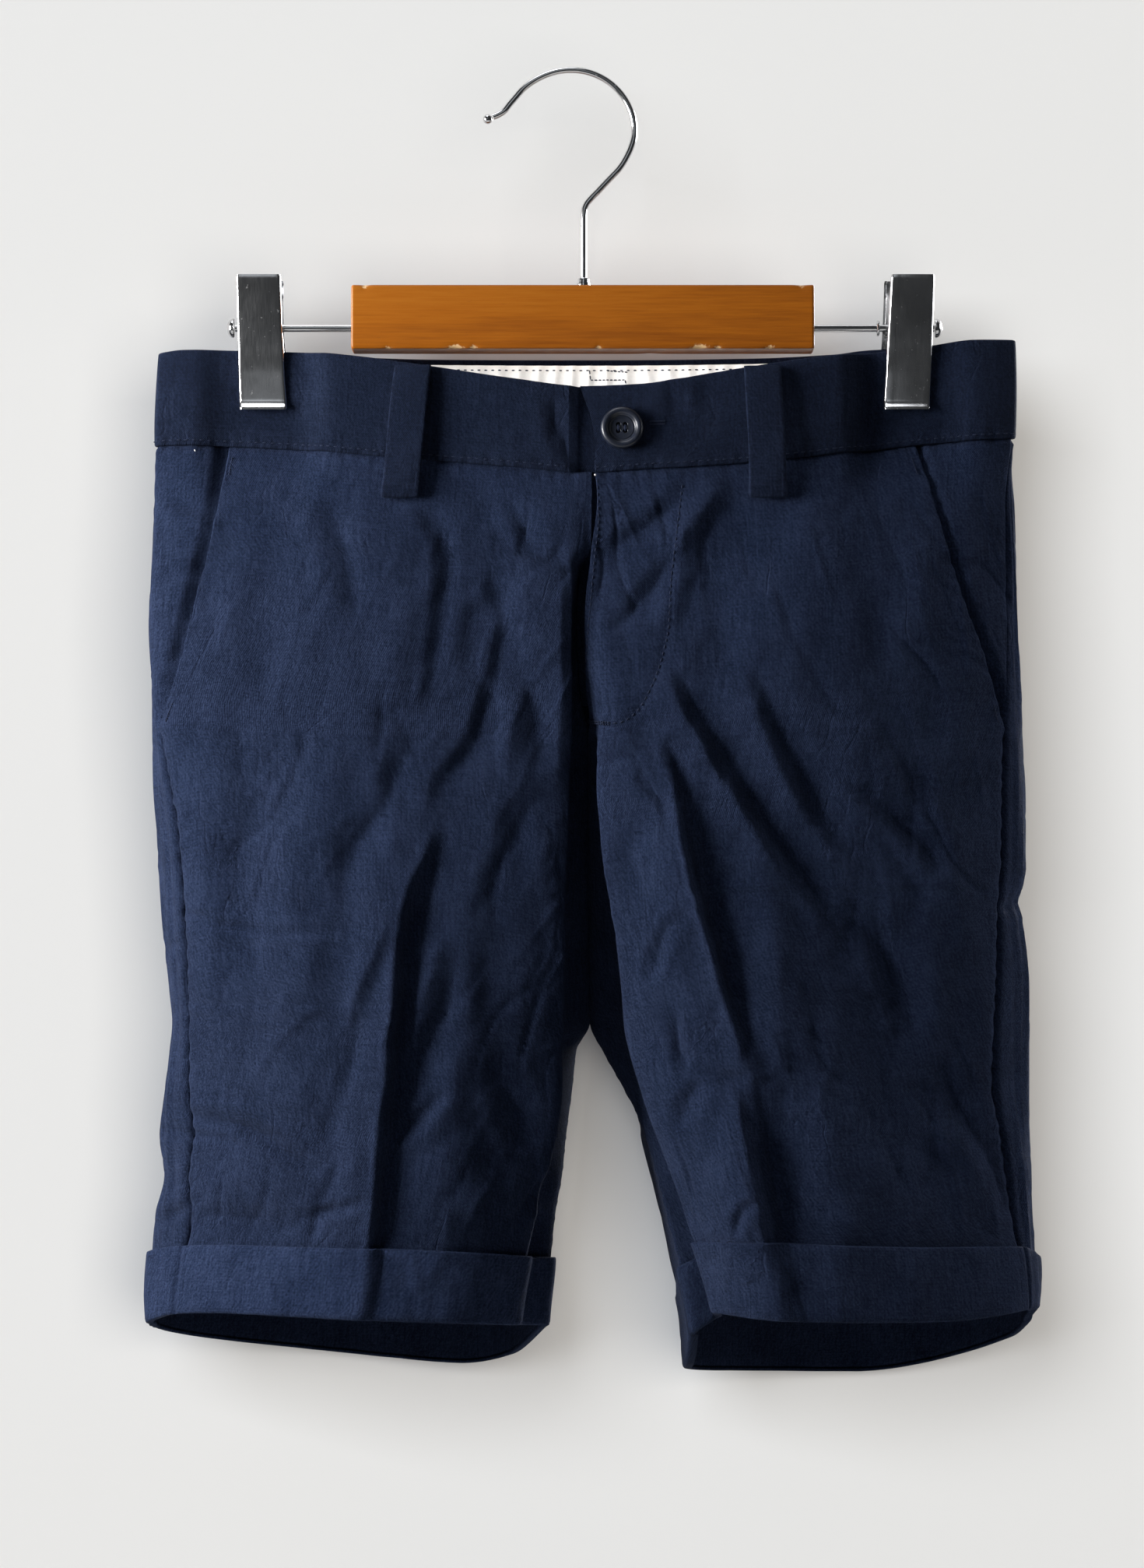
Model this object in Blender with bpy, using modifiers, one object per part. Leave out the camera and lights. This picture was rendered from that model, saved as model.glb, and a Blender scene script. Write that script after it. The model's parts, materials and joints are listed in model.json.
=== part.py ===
"""Bermuda shorts with turn-ups, hanging by the waistband from a wooden clip hanger.

Sizes are in millimetres until a mesh is made. X runs to the right and Y to the back as seen from the
front, Z up. The origin is where the inside of the hook bears on a rail. "Left" and "right" are as seen
from the front. Heights are given as a drop: the distance below the origin.

The cloth is one hollow form. Each leg is a ring that runs, at any drop, from the middle seam over the
front crease to the side and back over the back crease. Above the crotch both rings are open at the
middle, where they meet along the front and back seams; below it each one closes at its inseam. Every
sewn piece is a stretch of those rings, so neighbours share their edge and stay a seam's gap apart.
"""

import math

import bmesh
import bpy
import numpy as np
from mathutils import Vector

MM = 0.001

CLOTH = 1.5  # wall of the twill, with what is turned under at its edges
BAND = 1.8  # wall of the waistband
LINING = 1.0
LOOP = 1.6
GAP = 0.3  # between neighbours
PROUD = 0.5  # how far the waistband stands off the line of the panels
CROTCH = 368.4  # drop of the point where the legs part
MIDDLE = 5.6  # X of the garment's middle
POCKET_END = 256.0  # drop of the slant pockets' lower ends
FLY_END = 252.0
UNDERLAP_END = 36.0  # X that the waistband's left end reaches, behind the right one
HEM_TURN = 2.0  # the cuff's fold below the leg's raw edge

WIRE_R = 1.25
ROD_R = 1.43
BAR = {"left": -85.4, "right": 93.1, "top": 83.8, "bottom": 108.6, "half_depth": 7.0}
ROD_DROP = 99.6
SHANK_X = 4.2
CLIP_METAL = 1.0
BUTTON_R = 8.2
BUTTON_X, BUTTON_DROP = 18.7, 141.2

# Where each named line of a ring lies, from the middle seam in front round to the one behind.
STATIONS = {"mid": 0.0, "edge": 0.10, "crease": 0.27, "seam": 0.46, "fold": 0.50,
            "back_crease": 0.73, "back_edge": 0.91, "back_mid": 1.0}
SEAM, FOLD = STATIONS["seam"], STATIONS["fold"]

# The grid of the panels, which the cuffs share.
FRONT_RING = np.linspace(0, SEAM, 18)
BACK_RING = np.linspace(SEAM, 1, 20)
UPPER_ROWS, LOWER_ROWS = 16, 8


def table(columns, *rows):
    """One array for each named column."""
    return dict(zip(columns.split(), np.array(rows, float).T))


RING = "drop mid edge crease seam fold back_crease back_edge back_mid"

# X of each line of the rings.
WIDTHS = {
    "left": table(
        RING,
        (100, 7.4, -3.0, -76, -158.6, -159.2, -78, -12, 5.6),
        (146, 7.4, -3.0, -78, -160.6, -161.2, -78, -14, 5.6),
        (186, 7.2, -3.0, -79, -161.2, -161.8, -79, -16, 5.6),
        (196, 2.6, -1.2, -79, -161.4, -162.3, -79, -17, 5.6),
        (214, 1.6, -0.6, -78, -161.2, -163.2, -80, -18, 5.6),
        (240, 2.2, -0.9, -76, -159.9, -161.9, -80, -19, 5.6),
        (273, 4.0, -1.5, -74, -155.1, -161.0, -80, -19, 5.6),
        (296, 5.0, -1.9, -73, -150.9, -159.6, -80, -18, 5.8),
        (328, 5.9, -3.7, -75, -148.5, -158.0, -80, -15, 6.2),
        (354, 6.4, -4.0, -75, -147.9, -155.4, -80, -11, 6.5),
        (CROTCH, 6.6, -4.0, -73, -147.4, -154.2, -80, -8, 6.6),
        (378, 1.6, -3.8, -72, -147.3, -155.0, -80, -6, 1.6),
        (392, 0.0, -3.6, -72, -147.2, -156.5, -80, -5, 0.0),
        (412, -2.6, -5.5, -73, -145.4, -158.0, -81, -6, -2.6),
        (426, -4.0, -9.0, -74.5, -146.8, -156.0, -82, -9, -4.0),
        (441, -6.6, -13.0, -76, -145.4, -159.0, -83, -13, -6.6),
        (457, -8.2, -18.0, -78, -147.8, -160.6, -85, -18, -8.2),
        (484, -10.6, -23.0, -80, -150.6, -161.4, -88, -26, -10.6),
        (510, -11.0, -24.0, -81, -151.0, -161.4, -88, -27, -11.0)),
    "right": table(
        RING,
        (100, 1.0, 14.0, 92, 170.0, 170.6, 92, 24, 5.6),
        (122, 2.2, 14.0, 92, 170.2, 170.8, 92, 24, 5.6),
        (140, 7.2, 17.0, 91, 169.8, 170.5, 92, 24, 5.6),
        (156, 8.2, 18.0, 89, 167.2, 169.6, 92, 25, 5.6),
        (168, 9.2, 18.0, 86, 166.0, 170.4, 92, 26, 5.6),
        (188, 6.9, 16.0, 82, 166.2, 171.0, 93, 27, 5.6),
        (214, 4.4, 14.0, 74, 166.5, 171.7, 93, 28, 5.6),
        (240, 4.8, 13.0, 67, 166.2, 173.0, 94, 29, 5.6),
        (252, 6.2, 12.0, 63, 166.0, 173.6, 94, 29, 5.6),
        (264, 6.0, 10.0, 60, 165.9, 174.1, 95, 30, 5.6),
        (280, 5.8, 9.0, 57, 165.6, 174.6, 95, 30, 5.6),
        (307, 6.0, 11.4, 54, 165.0, 174.6, 96, 29, 5.8),
        (322, 6.2, 14.0, 54, 163.4, 172.0, 96, 28, 6.0),
        (348, 6.5, 18.0, 57, 162.2, 175.0, 97, 24, 6.4),
        (CROTCH, 6.6, 20.8, 61, 161.1, 175.2, 99, 20, 6.6),
        (378, 11.1, 22.6, 62, 160.6, 175.0, 100, 21, 11.1),
        (392, 18.9, 26.0, 64, 160.3, 175.2, 101, 23, 18.9),
        (407, 26.5, 30.5, 66, 163.0, 175.6, 102, 25.5, 26.5),
        (427, 32.5, 38.0, 69.5, 166.4, 176.3, 104, 30, 32.5),
        (444, 36.6, 44.0, 73, 169.0, 176.8, 106, 34.2, 36.6),
        (459, 40.6, 50.0, 77, 171.4, 177.2, 108, 37.5, 40.6),
        (484, 46.0, 56.0, 83, 172.8, 175.8, 110, 43.5, 46.0),
        (510, 48.0, 58.0, 84, 172.8, 175.0, 111, 45.0, 48.0)),
}

# Y of each line of the rings.
DEPTHS = {
    "left": table(
        RING,
        (100, -13.5, -13.0, -10, -1.5, 0.0, 10, 12.5, 12.5),
        (146, -17.5, -17.5, -14, -2.5, 0.5, 14, 17, 17),
        (186, -20.0, -21.5, -21, -5.0, 1.0, 22, 24, 22),
        (197, -12.0, -22.5, -23, -6.0, 1.4, 24, 25, 23),
        (214, -10.0, -24.0, -26, -7.0, 2.0, 27, 28, 24),
        (240, -8.5, -25.0, -29, -9.0, 2.0, 31, 30, 25),
        (273, -3.0, -26.0, -32, -11.0, 2.0, 34, 31, 25),
        (300, 1.0, -26.0, -33.5, -11.5, 2.0, 35.5, 31, 24),
        (328, 3.5, -25.5, -35, -12.0, 2.0, 37, 30, 22),
        (354, 6.5, -24.0, -36, -12.0, 2.0, 38, 28, 17),
        (364, 8.4, -23.4, -36.4, -12.0, 2.0, 38, 27, 12.8),
        (CROTCH, 10.0, -23.0, -36.5, -12.0, 2.0, 38, 27, 10),
        (400, 8.0, -22.0, -37, -12.0, 1.0, 38, 24, 8),
        (440, 4.0, -21.0, -38, -12.0, 1.0, 38, 22, 4),
        (484, 2.0, -20.0, -38, -12.0, 1.0, 38, 22, 2),
        (510, 2.0, -20.0, -38, -12.0, 1.0, 38, 22, 2)),
    "right": table(
        RING,
        (100, -13.5, -13.0, -10, -1.5, 0.0, 10, 12.5, 12.5),
        (146, -17.5, -17.5, -14, -2.5, 0.5, 14, 17, 17),
        (186, -20.5, -21.5, -21, -5.0, 1.0, 22, 24, 22),
        (214, -21.5, -24.0, -26, -7.0, 2.0, 27, 28, 24),
        (240, -20.5, -25.0, -29, -9.0, 2.0, 31, 30, 25),
        (252, -18.5, -25.5, -30, -10.0, 2.0, 32, 30, 25),
        (262, -11.0, -26.0, -31, -10.5, 2.0, 33, 31, 25),
        (273, -3.0, -26.0, -32, -11.0, 2.0, 34, 31, 25),
        (300, 1.0, -26.0, -33.5, -11.5, 2.0, 35.5, 31, 24),
        (328, 3.5, -25.5, -35, -12.0, 2.0, 37, 30, 22),
        (354, 6.5, -24.0, -36, -12.0, 2.0, 39, 28, 17),
        (364, 8.4, -23.5, -36.5, -12.0, 2.0, 40, 26, 12.8),
        (CROTCH, 10.0, -23.0, -37, -12.0, 2.0, 40, 25, 10),
        (392, 4.0, -22.5, -38, -12.0, 2.0, 41, 22, 4),
        (410, -4.0, -23.0, -39, -12.0, 2.0, 42, 18, -4),
        (427, -10.0, -24.0, -40, -12.0, 2.0, 42, 14, -10),
        (459, -13.0, -25.0, -41, -11.0, 2.0, 42, 12, -13),
        (484, -14.0, -25.0, -41, -10.0, 2.0, 42, 12, -14),
        (510, -14.0, -25.0, -41, -10.0, 2.0, 42, 12, -14)),
}

# Drops of the waistband's top edge and of the seam below it, across the front and the back.
WAIST = {
    "front": table(
        "x top seam",
        (-161, 110.1, 145.7), (-152, 109.2, 145.6), (-111, 110.0, 147.0), (-86, 112.4, 149.8),
        (-54, 117.0, 152.8), (-24, 121.6, 155.4), (5.6, 125.0, 157.8), (28, 124.0, 156.4),
        (43, 121.6, 155.6), (63, 117.8, 154.2), (88, 113.6, 151.6), (109, 110.9, 148.6),
        (131, 108.3, 145.6), (152, 105.4, 143.8), (170, 105.0, 142.6)),
    "back": table(
        "x top seam",
        (-161, 110.1, 145.7), (-111, 109.4, 146.0), (-54, 110.6, 147.0), (5.6, 110.6, 147.2),
        (70, 110.2, 147.0), (109, 108.6, 145.6), (131, 107.6, 144.6), (152, 105.4, 143.6),
        (170, 105.0, 142.6)),
}

# Drops of each cuff's two edges round its ring.
HEM = {
    "left": table(
        "ring top bottom",
        (0.00, 457.5, 483.5), (0.10, 455.5, 481.5), (0.26, 451.4, 478.4), (0.40, 451.0, 476.8),
        (0.46, 452.0, 478.0), (0.50, 455.0, 482.5), (0.60, 463.0, 490.5), (0.73, 470.5, 497.5),
        (0.85, 473.0, 500.5), (0.92, 470.0, 496.5), (1.00, 457.5, 483.5)),
    "right": table(
        "ring top bottom",
        (0.00, 460.0, 485.5), (0.05, 455.0, 479.0), (0.10, 450.0, 476.8), (0.26, 449.0, 478.4),
        (0.38, 451.5, 479.5), (0.46, 452.5, 476.5), (0.50, 458.0, 477.5), (0.56, 463.0, 489.5),
        (0.73, 477.0, 505.0), (0.85, 476.0, 503.0), (0.94, 472.0, 499.0), (1.00, 460.0, 485.5)),
}

# X of the slant pockets' opening edges.
POCKETS = table(
    "drop left right",
    (140, -131.4, 128.6), (146, -131.9, 130.4), (156, -133.3, 133.5), (177, -137.0, 140.1),
    (192, -140.0, 144.4), (211, -144.7, 150.4), (227, -148.6, 156.8), (242, -152.4, 161.6),
    (POCKET_END, -157.4, 165.4))

# The largest folds: three places along each one's line, its reach to either side and its height,
# which is below zero for a trough.
FOLD_COLUMNS = "x0 drop0 x1 drop1 x2 drop2 reach height"
FRONT_FOLDS = {
    "left": table(
        FOLD_COLUMNS,
        (-97.8, 164.7, -90.9, 178.8, -84.3, 222.0, 9, -3.5),
        (-48.0, 176.0, -50.7, 213.3, -54.3, 250.0, 7, -4.5),
        (-42.3, 262.0, -57.3, 301.5, -80.1, 352.0, 9, 5.5),
        (-46.0, 288.0, -62.0, 336.9, -66.0, 395.0, 8, -5.5),
        (-15.9, 272.0, -30.0, 313.2, -44.0, 345.0, 7, -3.5),
        (-80.0, 370.0, -75.0, 410.0, -78.0, 470.0, 7, 2.5),
        (-139.2, 400.0, -126.3, 408.9, -98.0, 426.0, 7, -3.5)),
    "right": table(
        FOLD_COLUMNS,
        (34.0, 232.0, 66.0, 284.0, 117.0, 336.0, 8, -5.5),
        (61.8, 266.0, 84.0, 300.0, 108.0, 334.0, 7, 4.5),
        (112.0, 272.0, 125.1, 286.2, 144.0, 310.0, 7, -3.5),
        (34.0, 256.0, 43.2, 308.1, 54.0, 345.0, 7, 4.5),
        (50.0, 300.0, 66.0, 348.0, 76.0, 400.0, 9, -6.0),
        (48.0, 184.0, 55.8, 201.0, 34.8, 234.0, 9, -4.0),
        (57.0, 158.0, 42.3, 180.0, 17.0, 216.0, 8, 3.5)),
}
BACK_FOLDS = {
    "left": table(
        FOLD_COLUMNS,
        (-14.0, 344.0, -52.0, 330.0, -104.0, 300.0, 9, -5.5),
        (-12.0, 322.0, -46.0, 296.0, -82.0, 250.0, 9, -4.0),
        (-30.0, 200.0, -36.0, 240.0, -48.0, 290.0, 8, 3.5),
        (-130.0, 250.0, -118.0, 310.0, -112.0, 380.0, 10, -4.0),
        (-84.0, 380.0, -82.0, 430.0, -88.0, 485.0, 7, 3.5)),
    "right": table(
        FOLD_COLUMNS,
        (26.0, 340.0, 66.0, 322.0, 124.0, 306.0, 9, -5.5),
        (24.0, 318.0, 54.0, 284.0, 76.0, 236.0, 9, -4.0),
        (44.0, 204.0, 52.0, 246.0, 70.0, 300.0, 8, 3.5),
        (146.0, 262.0, 134.0, 322.0, 130.0, 396.0, 10, -4.0),
        (98.0, 376.0, 104.0, 430.0, 110.0, 488.0, 7, 3.5)),
}

CLIPS = table(  # X and drop of each clip's corners, and the Y of its outer face
    "left_x0 left_x1 right_x0 right_x1 drop face",
    (-129.8, -112.5, 122.6, 139.4, 80.0, 8.4),
    (-129.4, -112.0, 121.6, 138.9, ROD_DROP, 6.4),
    (-129.1, -111.4, 121.1, 138.6, 108.0, 5.9),
    (-128.9, -111.0, 120.6, 138.3, 118.0, 5.4),
    (-128.5, -110.2, 119.9, 137.8, 128.0, 5.3),
    (-128.4, -109.9, 119.7, 137.7, 132.0, 6.0))
CLIP_MIDDLES = (-120.0, 129.6)
CLIP_GRIP = 22.0  # how far to either side of a clip the band is drawn together
GRIPPED = 2.9  # Y of the cloth's line between the jaws

INK = {
    "twill": ((0.014, 0.022, 0.062), 0.9, 0.0),
    "lining": ((0.78, 0.77, 0.74), 0.9, 0.0),
    "button": ((0.008, 0.012, 0.03), 0.4, 0.0),
    "wood": ((0.45, 0.16, 0.03), 0.45, 0.0),
    "chrome": ((0.35, 0.35, 0.36), 0.12, 1.0),
}


# ---------------------------------------------------------------- curves through named values


def smooth(knots, values, at):
    """A cubic through values at rising knots that never swings past them.

    Its slope at a knot is the weighted harmonic mean of the slopes on both sides, or level where they
    differ in sign. values may hold one curve, or one for each place in at.
    """
    at = np.asarray(at, float)
    values = np.asarray(values, float)
    column = (-1,) + (1,) * at.ndim
    if values.ndim == 1:
        values = values.reshape(column) + np.zeros(at.shape)
    step = np.diff(knots).reshape(column)
    slope = np.diff(values, axis=0) / step
    before, after = slope[:-1], slope[1:]
    near, far = 2 * step[1:] + step[:-1], step[1:] + 2 * step[:-1]
    with np.errstate(divide="ignore", invalid="ignore"):
        mean = (near + far) / (near / before + far / after)
    inner = np.where(before * after > 0, mean, 0.0)
    tangent = np.concatenate([slope[:1], inner, slope[-1:]])
    place = np.clip(at, knots[0], knots[-1])
    index = np.clip(np.searchsorted(knots, place, side="right") - 1, 0, len(knots) - 2)
    length = np.diff(knots)[index]
    t = (place - knots[index]) / length

    def pick(array, which):
        return np.take_along_axis(array, which[None], 0)[0]

    low, high = pick(values, index), pick(values, index + 1)
    leave, arrive = pick(tangent, index) * length, pick(tangent, index + 1) * length
    return (low * (1 + 2 * t) * (1 - t) ** 2 + leave * t * (1 - t) ** 2
            + high * t * t * (3 - 2 * t) + arrive * t * t * (t - 1))


def ease(low, high, value):
    """0 below low, 1 above high, and level at both ends."""
    t = np.clip((value - low) / (high - low), 0, 1)
    return t * t * (3 - 2 * t)


def unit(vectors):
    return vectors / np.maximum(np.linalg.norm(vectors, axis=-1, keepdims=True), 1e-9)


# ---------------------------------------------------------------- the cloth's form


def turn(side):
    """1 where a ring runs clockwise seen from above, as the left one does, and -1 on the right."""
    return 1 if side == "left" else -1


def plan(side, ring, drop):
    """X and Y on a leg's ring, before its folds: curves down each line, then one round the lines."""
    knots = np.array(list(STATIONS.values()))
    found = []
    for sizes in (WIDTHS[side], DEPTHS[side]):
        lines = [smooth(sizes["drop"], sizes[name], drop) for name in STATIONS]
        lines[-1] = np.where(np.asarray(drop) > CROTCH, lines[0], lines[-1])
        found.append(smooth(knots, np.stack(lines), ring))
    x, y = found
    grip = sum(np.exp(-((x - middle) / CLIP_GRIP) ** 6) for middle in CLIP_MIDDLES)
    grip = grip * (1 - ease(134, 176, drop))
    return x, y * (1 - grip) + np.sign(y) * GRIPPED * grip


def fold_height(folds, x, drop):
    """Sum of the folds at a place: each is a rounded ridge along a bend, and fades at both ends."""
    total = np.zeros(np.shape(x))
    along = np.linspace(0, 1, 25).reshape((-1,) + (1,) * np.ndim(x))
    for i in range(len(folds["reach"])):
        fold = {name: column[i] for name, column in folds.items()}
        near, bend, far = (1 - along) ** 2, 2 * along * (1 - along), along ** 2
        line_x = near * fold["x0"] + bend * fold["x1"] + far * fold["x2"]
        line_z = near * fold["drop0"] + bend * fold["drop1"] + far * fold["drop2"]
        fade = np.sin(math.pi * np.clip(along, 0.02, 0.98)) ** 0.5
        away = ((x - line_x) ** 2 + (drop - line_z) ** 2) / fold["reach"] ** 2
        total += fold["height"] * (fade * np.exp(-away)).max(axis=0)
    return total


def form(side, ring, drop):
    """Points of the cloth's outer face: the ring in plan, pushed out or in by the folds."""
    step = 0.004
    ring, drop = np.broadcast_arrays(np.asarray(ring, float), np.asarray(drop, float))
    x, y = plan(side, ring, drop)
    ahead = plan(side, np.clip(ring + step, 0, 1), drop)
    behind = plan(side, np.clip(ring - step, 0, 1), drop)
    way = unit(np.stack([ahead[0] - behind[0], ahead[1] - behind[1]], -1)) * turn(side)
    front = fold_height(FRONT_FOLDS[side], x, drop) * (1 - ease(0.42, 0.48, ring))
    back = fold_height(BACK_FOLDS[side], x, drop) * ease(0.5, 0.56, ring)
    quiet = ease(0.0, 0.06, ring) * (1 - ease(0.94, 1.0, ring)) * (1 - 0.7 * ease(436, 456, drop))
    out = (front + back) * quiet
    return np.stack([x - way[..., 1] * out, y + way[..., 0] * out, -drop], -1)


def outward(side, ring, drop):
    """Unit normals of the cloth's outer face, the same for both pieces at a seam."""
    ring, drop = np.broadcast_arrays(np.asarray(ring, float), np.asarray(drop, float))
    step, reach = 0.006, 2.0
    round_it = form(side, np.clip(ring + step, 0, 1), drop) - form(side, np.clip(ring - step, 0, 1), drop)
    down = form(side, ring, drop + reach) - form(side, ring, drop - reach)
    normals = unit(np.cross(round_it, down)) * turn(side)
    inseam = ((ring < 0.001) | (ring > 0.999)) & (drop > CROTCH - 0.5)
    normals[inseam] = (turn(side), 0.0, 0.0)
    return normals


def ring_at(side, x, drop, low=0.0, high=SEAM):
    """The place on the ring, between two of its lines, where the cloth reaches each x at each drop."""
    tries = np.linspace(low, high, 121)
    found = np.zeros(np.shape(x))
    for place in np.ndindex(found.shape):
        reached = plan(side, tries, np.full(121, drop[place]))[0]
        order = np.argsort(reached)
        found[place] = np.interp(x[place], reached[order], tries[order])
    return found


def waist_drop(side, ring, edge):
    """Drop of the waistband's top edge or seam at places on the ring."""
    ring = np.asarray(ring, float)
    x = plan(side, ring, np.full(ring.shape, 146.0))[0]
    front = smooth(WAIST["front"]["x"], WAIST["front"][edge], x)
    back = smooth(WAIST["back"]["x"], WAIST["back"][edge], x)
    behind = ease(SEAM, 0.54, ring)
    return front * (1 - behind) + back * behind


def hem_drop(side, ring, edge):
    return smooth(HEM[side]["ring"], HEM[side][edge], ring)


# ---------------------------------------------------------------- meshes


def closed_mesh(name, points, faces, look, collection):
    """One object from points in millimetres and faces, with its faces turned outwards."""
    mesh = bpy.data.meshes.new(name)
    mesh.from_pydata((np.asarray(points) * MM).tolist(), [], [list(map(int, f)) for f in faces])
    shape = bmesh.new()
    shape.from_mesh(mesh)
    bmesh.ops.recalc_face_normals(shape, faces=shape.faces[:])
    if shape.calc_volume(signed=True) < 0:
        bmesh.ops.reverse_faces(shape, faces=shape.faces[:])
    shape.to_mesh(mesh)
    shape.free()
    return place(bpy.data.objects.new(name, mesh), look, collection)


def place(piece, look, collection):
    """Links an object to its collection, with its material and smooth shading."""
    collection.objects.link(piece)
    piece.data.materials.append(material(look))
    if piece.type == "MESH" and piece.data.polygons:
        piece.data.shade_smooth()
        piece.data.set_sharp_from_angle(angle=math.radians(35))
    return piece


def material(look):
    if look in bpy.data.materials:
        return bpy.data.materials[look]
    made = bpy.data.materials.new(look)
    made.use_nodes = True
    colour, roughness, metallic = INK[look]
    shader = made.node_tree.nodes["Principled BSDF"]
    shader.inputs["Base Color"].default_value = (*colour, 1)
    shader.inputs["Roughness"].default_value = roughness
    shader.inputs["Metallic"].default_value = metallic
    return made


def skin_faces(rows, columns, first, closed=False):
    """Quads of a grid whose points start at index first; closed joins its last column to its first."""
    row, column = np.meshgrid(np.arange(rows - 1), np.arange(columns - (not closed)), indexing="ij")
    after = (column + 1) % columns
    corners = [row * columns + column, (row + 1) * columns + column,
               (row + 1) * columns + after, row * columns + after]
    return first + np.stack(corners, -1).reshape(-1, 4)


def rim_faces(loop, other):
    """Quads between two loops of indices that run side by side."""
    return np.stack([loop, np.roll(loop, -1), np.roll(other, -1), other], -1)


def wall(name, outer, inner, look, collection):
    """A closed wall between two grids of the same size: two skins and the rim round them."""
    rows, columns = outer.shape[:2]
    count = rows * columns
    index = np.arange(count).reshape(rows, columns)
    loop = np.concatenate([index[0, :-1], index[:-1, -1], index[-1, :0:-1], index[:0:-1, 0]])
    faces = [*skin_faces(rows, columns, 0), *skin_faces(rows, columns, count)[:, ::-1],
             *rim_faces(loop, loop + count)]
    points = np.concatenate([outer.reshape(-1, 3), inner.reshape(-1, 3)])
    return closed_mesh(name, points, faces, look, collection)


def drawn_in(points, top=0.0, bottom=0.0, first=0.0, last=0.0):
    """The grid with its edges pulled back towards their neighbours by these distances."""
    points = points.copy()
    for edge, inside, amount in (((0,), (1,), top), ((-1,), (-2,), bottom),
                                 ((slice(None), 0), (slice(None), 1), first),
                                 ((slice(None), -1), (slice(None), -2), last)):
        if amount:
            points[edge] += unit(points[inside] - points[edge]) * amount
    return points


def cloth_wall(name, side, ring, drop, thick, look, collection, off=0.0, **edges):
    """A sewn piece: the stretch of a ring at these places, off the form by off, thick inwards."""
    normals = outward(side, ring, drop)
    outer = drawn_in(form(side, ring, drop) + normals * np.asarray(off)[..., None], **edges)
    return wall(name, outer, outer - normals * thick, look, collection)


# ---------------------------------------------------------------- the garment's pieces


def levels(top, bottom, upper, lower):
    """Drops down a panel for each column: from its top to the crotch's level, and on to its bottom."""
    above = np.linspace(0, 1, upper + 1)[:, None] ** 0.96
    below = np.linspace(0, 1, lower + 1)[1:, None]
    return np.concatenate([top + (CROTCH - top) * above, CROTCH + (bottom - CROTCH) * below])


def front_panel(side, collection):
    """From the middle seam, or the fly's edge, to the pocket's opening and below it the side seam."""
    share = FRONT_RING / SEAM
    corner = smooth(WAIST["front"]["x"], WAIST["front"]["seam"], POCKETS[side][:1])
    hem = hem_drop(side, FRONT_RING, "bottom") - HEM_TURN
    edge_drop = levels(corner, hem[-1:], UPPER_ROWS, LOWER_ROWS)[:, 0]
    opening = smooth(POCKETS["drop"], POCKETS[side], edge_drop)
    edge = np.where(edge_drop < POCKET_END, ring_at(side, opening, edge_drop), SEAM)
    ring = edge[:, None] * share[None, :]
    drop = levels(waist_drop(side, ring[0], "seam"), hem, UPPER_ROWS, LOWER_ROWS)
    half = GAP / 2 + 0.02
    return cloth_wall("front_" + side, side, ring, drop, CLOTH, "twill", collection,
                      top=half, first=half, last=half)


def back_panel(side, collection):
    hem = hem_drop(side, BACK_RING, "bottom") - HEM_TURN
    drop = levels(waist_drop(side, BACK_RING, "seam"), hem, UPPER_ROWS, LOWER_ROWS)
    half = GAP / 2 + 0.02
    return cloth_wall("back_" + side, side, np.broadcast_to(BACK_RING, drop.shape), drop, CLOTH, "twill",
                      collection, top=half, first=half, last=half)


def pocket_facing(side, collection, rows=10, columns=6, tuck=7.0):
    """The cloth between the opening and the side seam: it rises from under the front to the seam."""
    seam_line = waist_drop(side, np.array([SEAM]), "seam")[0]
    edge_drop = np.linspace(seam_line + 0.6, POCKET_END + 6.0, rows)
    opening = smooth(POCKETS["drop"], POCKETS[side], edge_drop)
    start = ring_at(side, opening + turn(side) * tuck, edge_drop)
    ring = start[:, None] + (SEAM - start[:, None]) * np.linspace(0, 1, columns)
    lean = waist_drop(side, ring[0], "seam") - seam_line
    drop = edge_drop[:, None] + lean[None, :] * (1 - np.linspace(0, 1, rows)[:, None])
    x = plan(side, ring, drop)[0]
    past = -turn(side) * (x - opening[:, None])
    under = CLOTH + 4 * GAP
    off = -under * (1 - ease(1.0, 9.0, past))
    return cloth_wall("pocket_facing_" + side, side, ring, drop, CLOTH * 0.8, "twill", collection,
                      off=off, top=GAP / 2, last=GAP / 2 + 0.05)


def fly_underlap(collection, rows=9, columns=7):
    """The shield behind the fly: it hangs from the band's left end, from the left front's turned edge."""
    down = np.linspace(0, 1, rows)[:, None]
    share = np.linspace(0, 1, columns)[None, :]
    top = smooth(WAIST["front"]["x"], WAIST["front"]["seam"], np.array([MIDDLE]))[0] + GAP / 2
    drop = top + (FLY_END - 6 - top) * down[:, 0]
    start = form("left", np.zeros(rows), drop)
    x = (start[:, :1] + 0.6) * (1 - share) + UNDERLAP_END * share
    rise = smooth(WAIST["front"]["x"], WAIST["front"]["seam"], x) + GAP / 2 - top
    drop = drop[:, None] + rise * (1 - down)
    behind = CLOTH + 2.4 * GAP
    over = ring_at("right", np.maximum(x, 10.0), drop)
    slant = np.maximum(np.abs(outward("right", over, drop)[..., 1]), 0.6)
    front = form("right", over, drop)[..., 1] + behind / slant
    settled = ease(0.0, 0.35, share)
    y = (start[:, 1:2] + behind) * (1 - settled) + front * settled
    outer = np.stack([x, y, -drop], -1)
    return wall("fly_underlap", outer, outer + (0.3, 1.2, 0), "twill", collection)


def waistband_right(collection, columns=26, rows=4):
    """Laps over the left end: its free end is the slanting one beside the button."""
    ring = FOLD * np.linspace(0, 1, columns)
    return band_piece("waistband_right", "right", ring, rows, collection)


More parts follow.
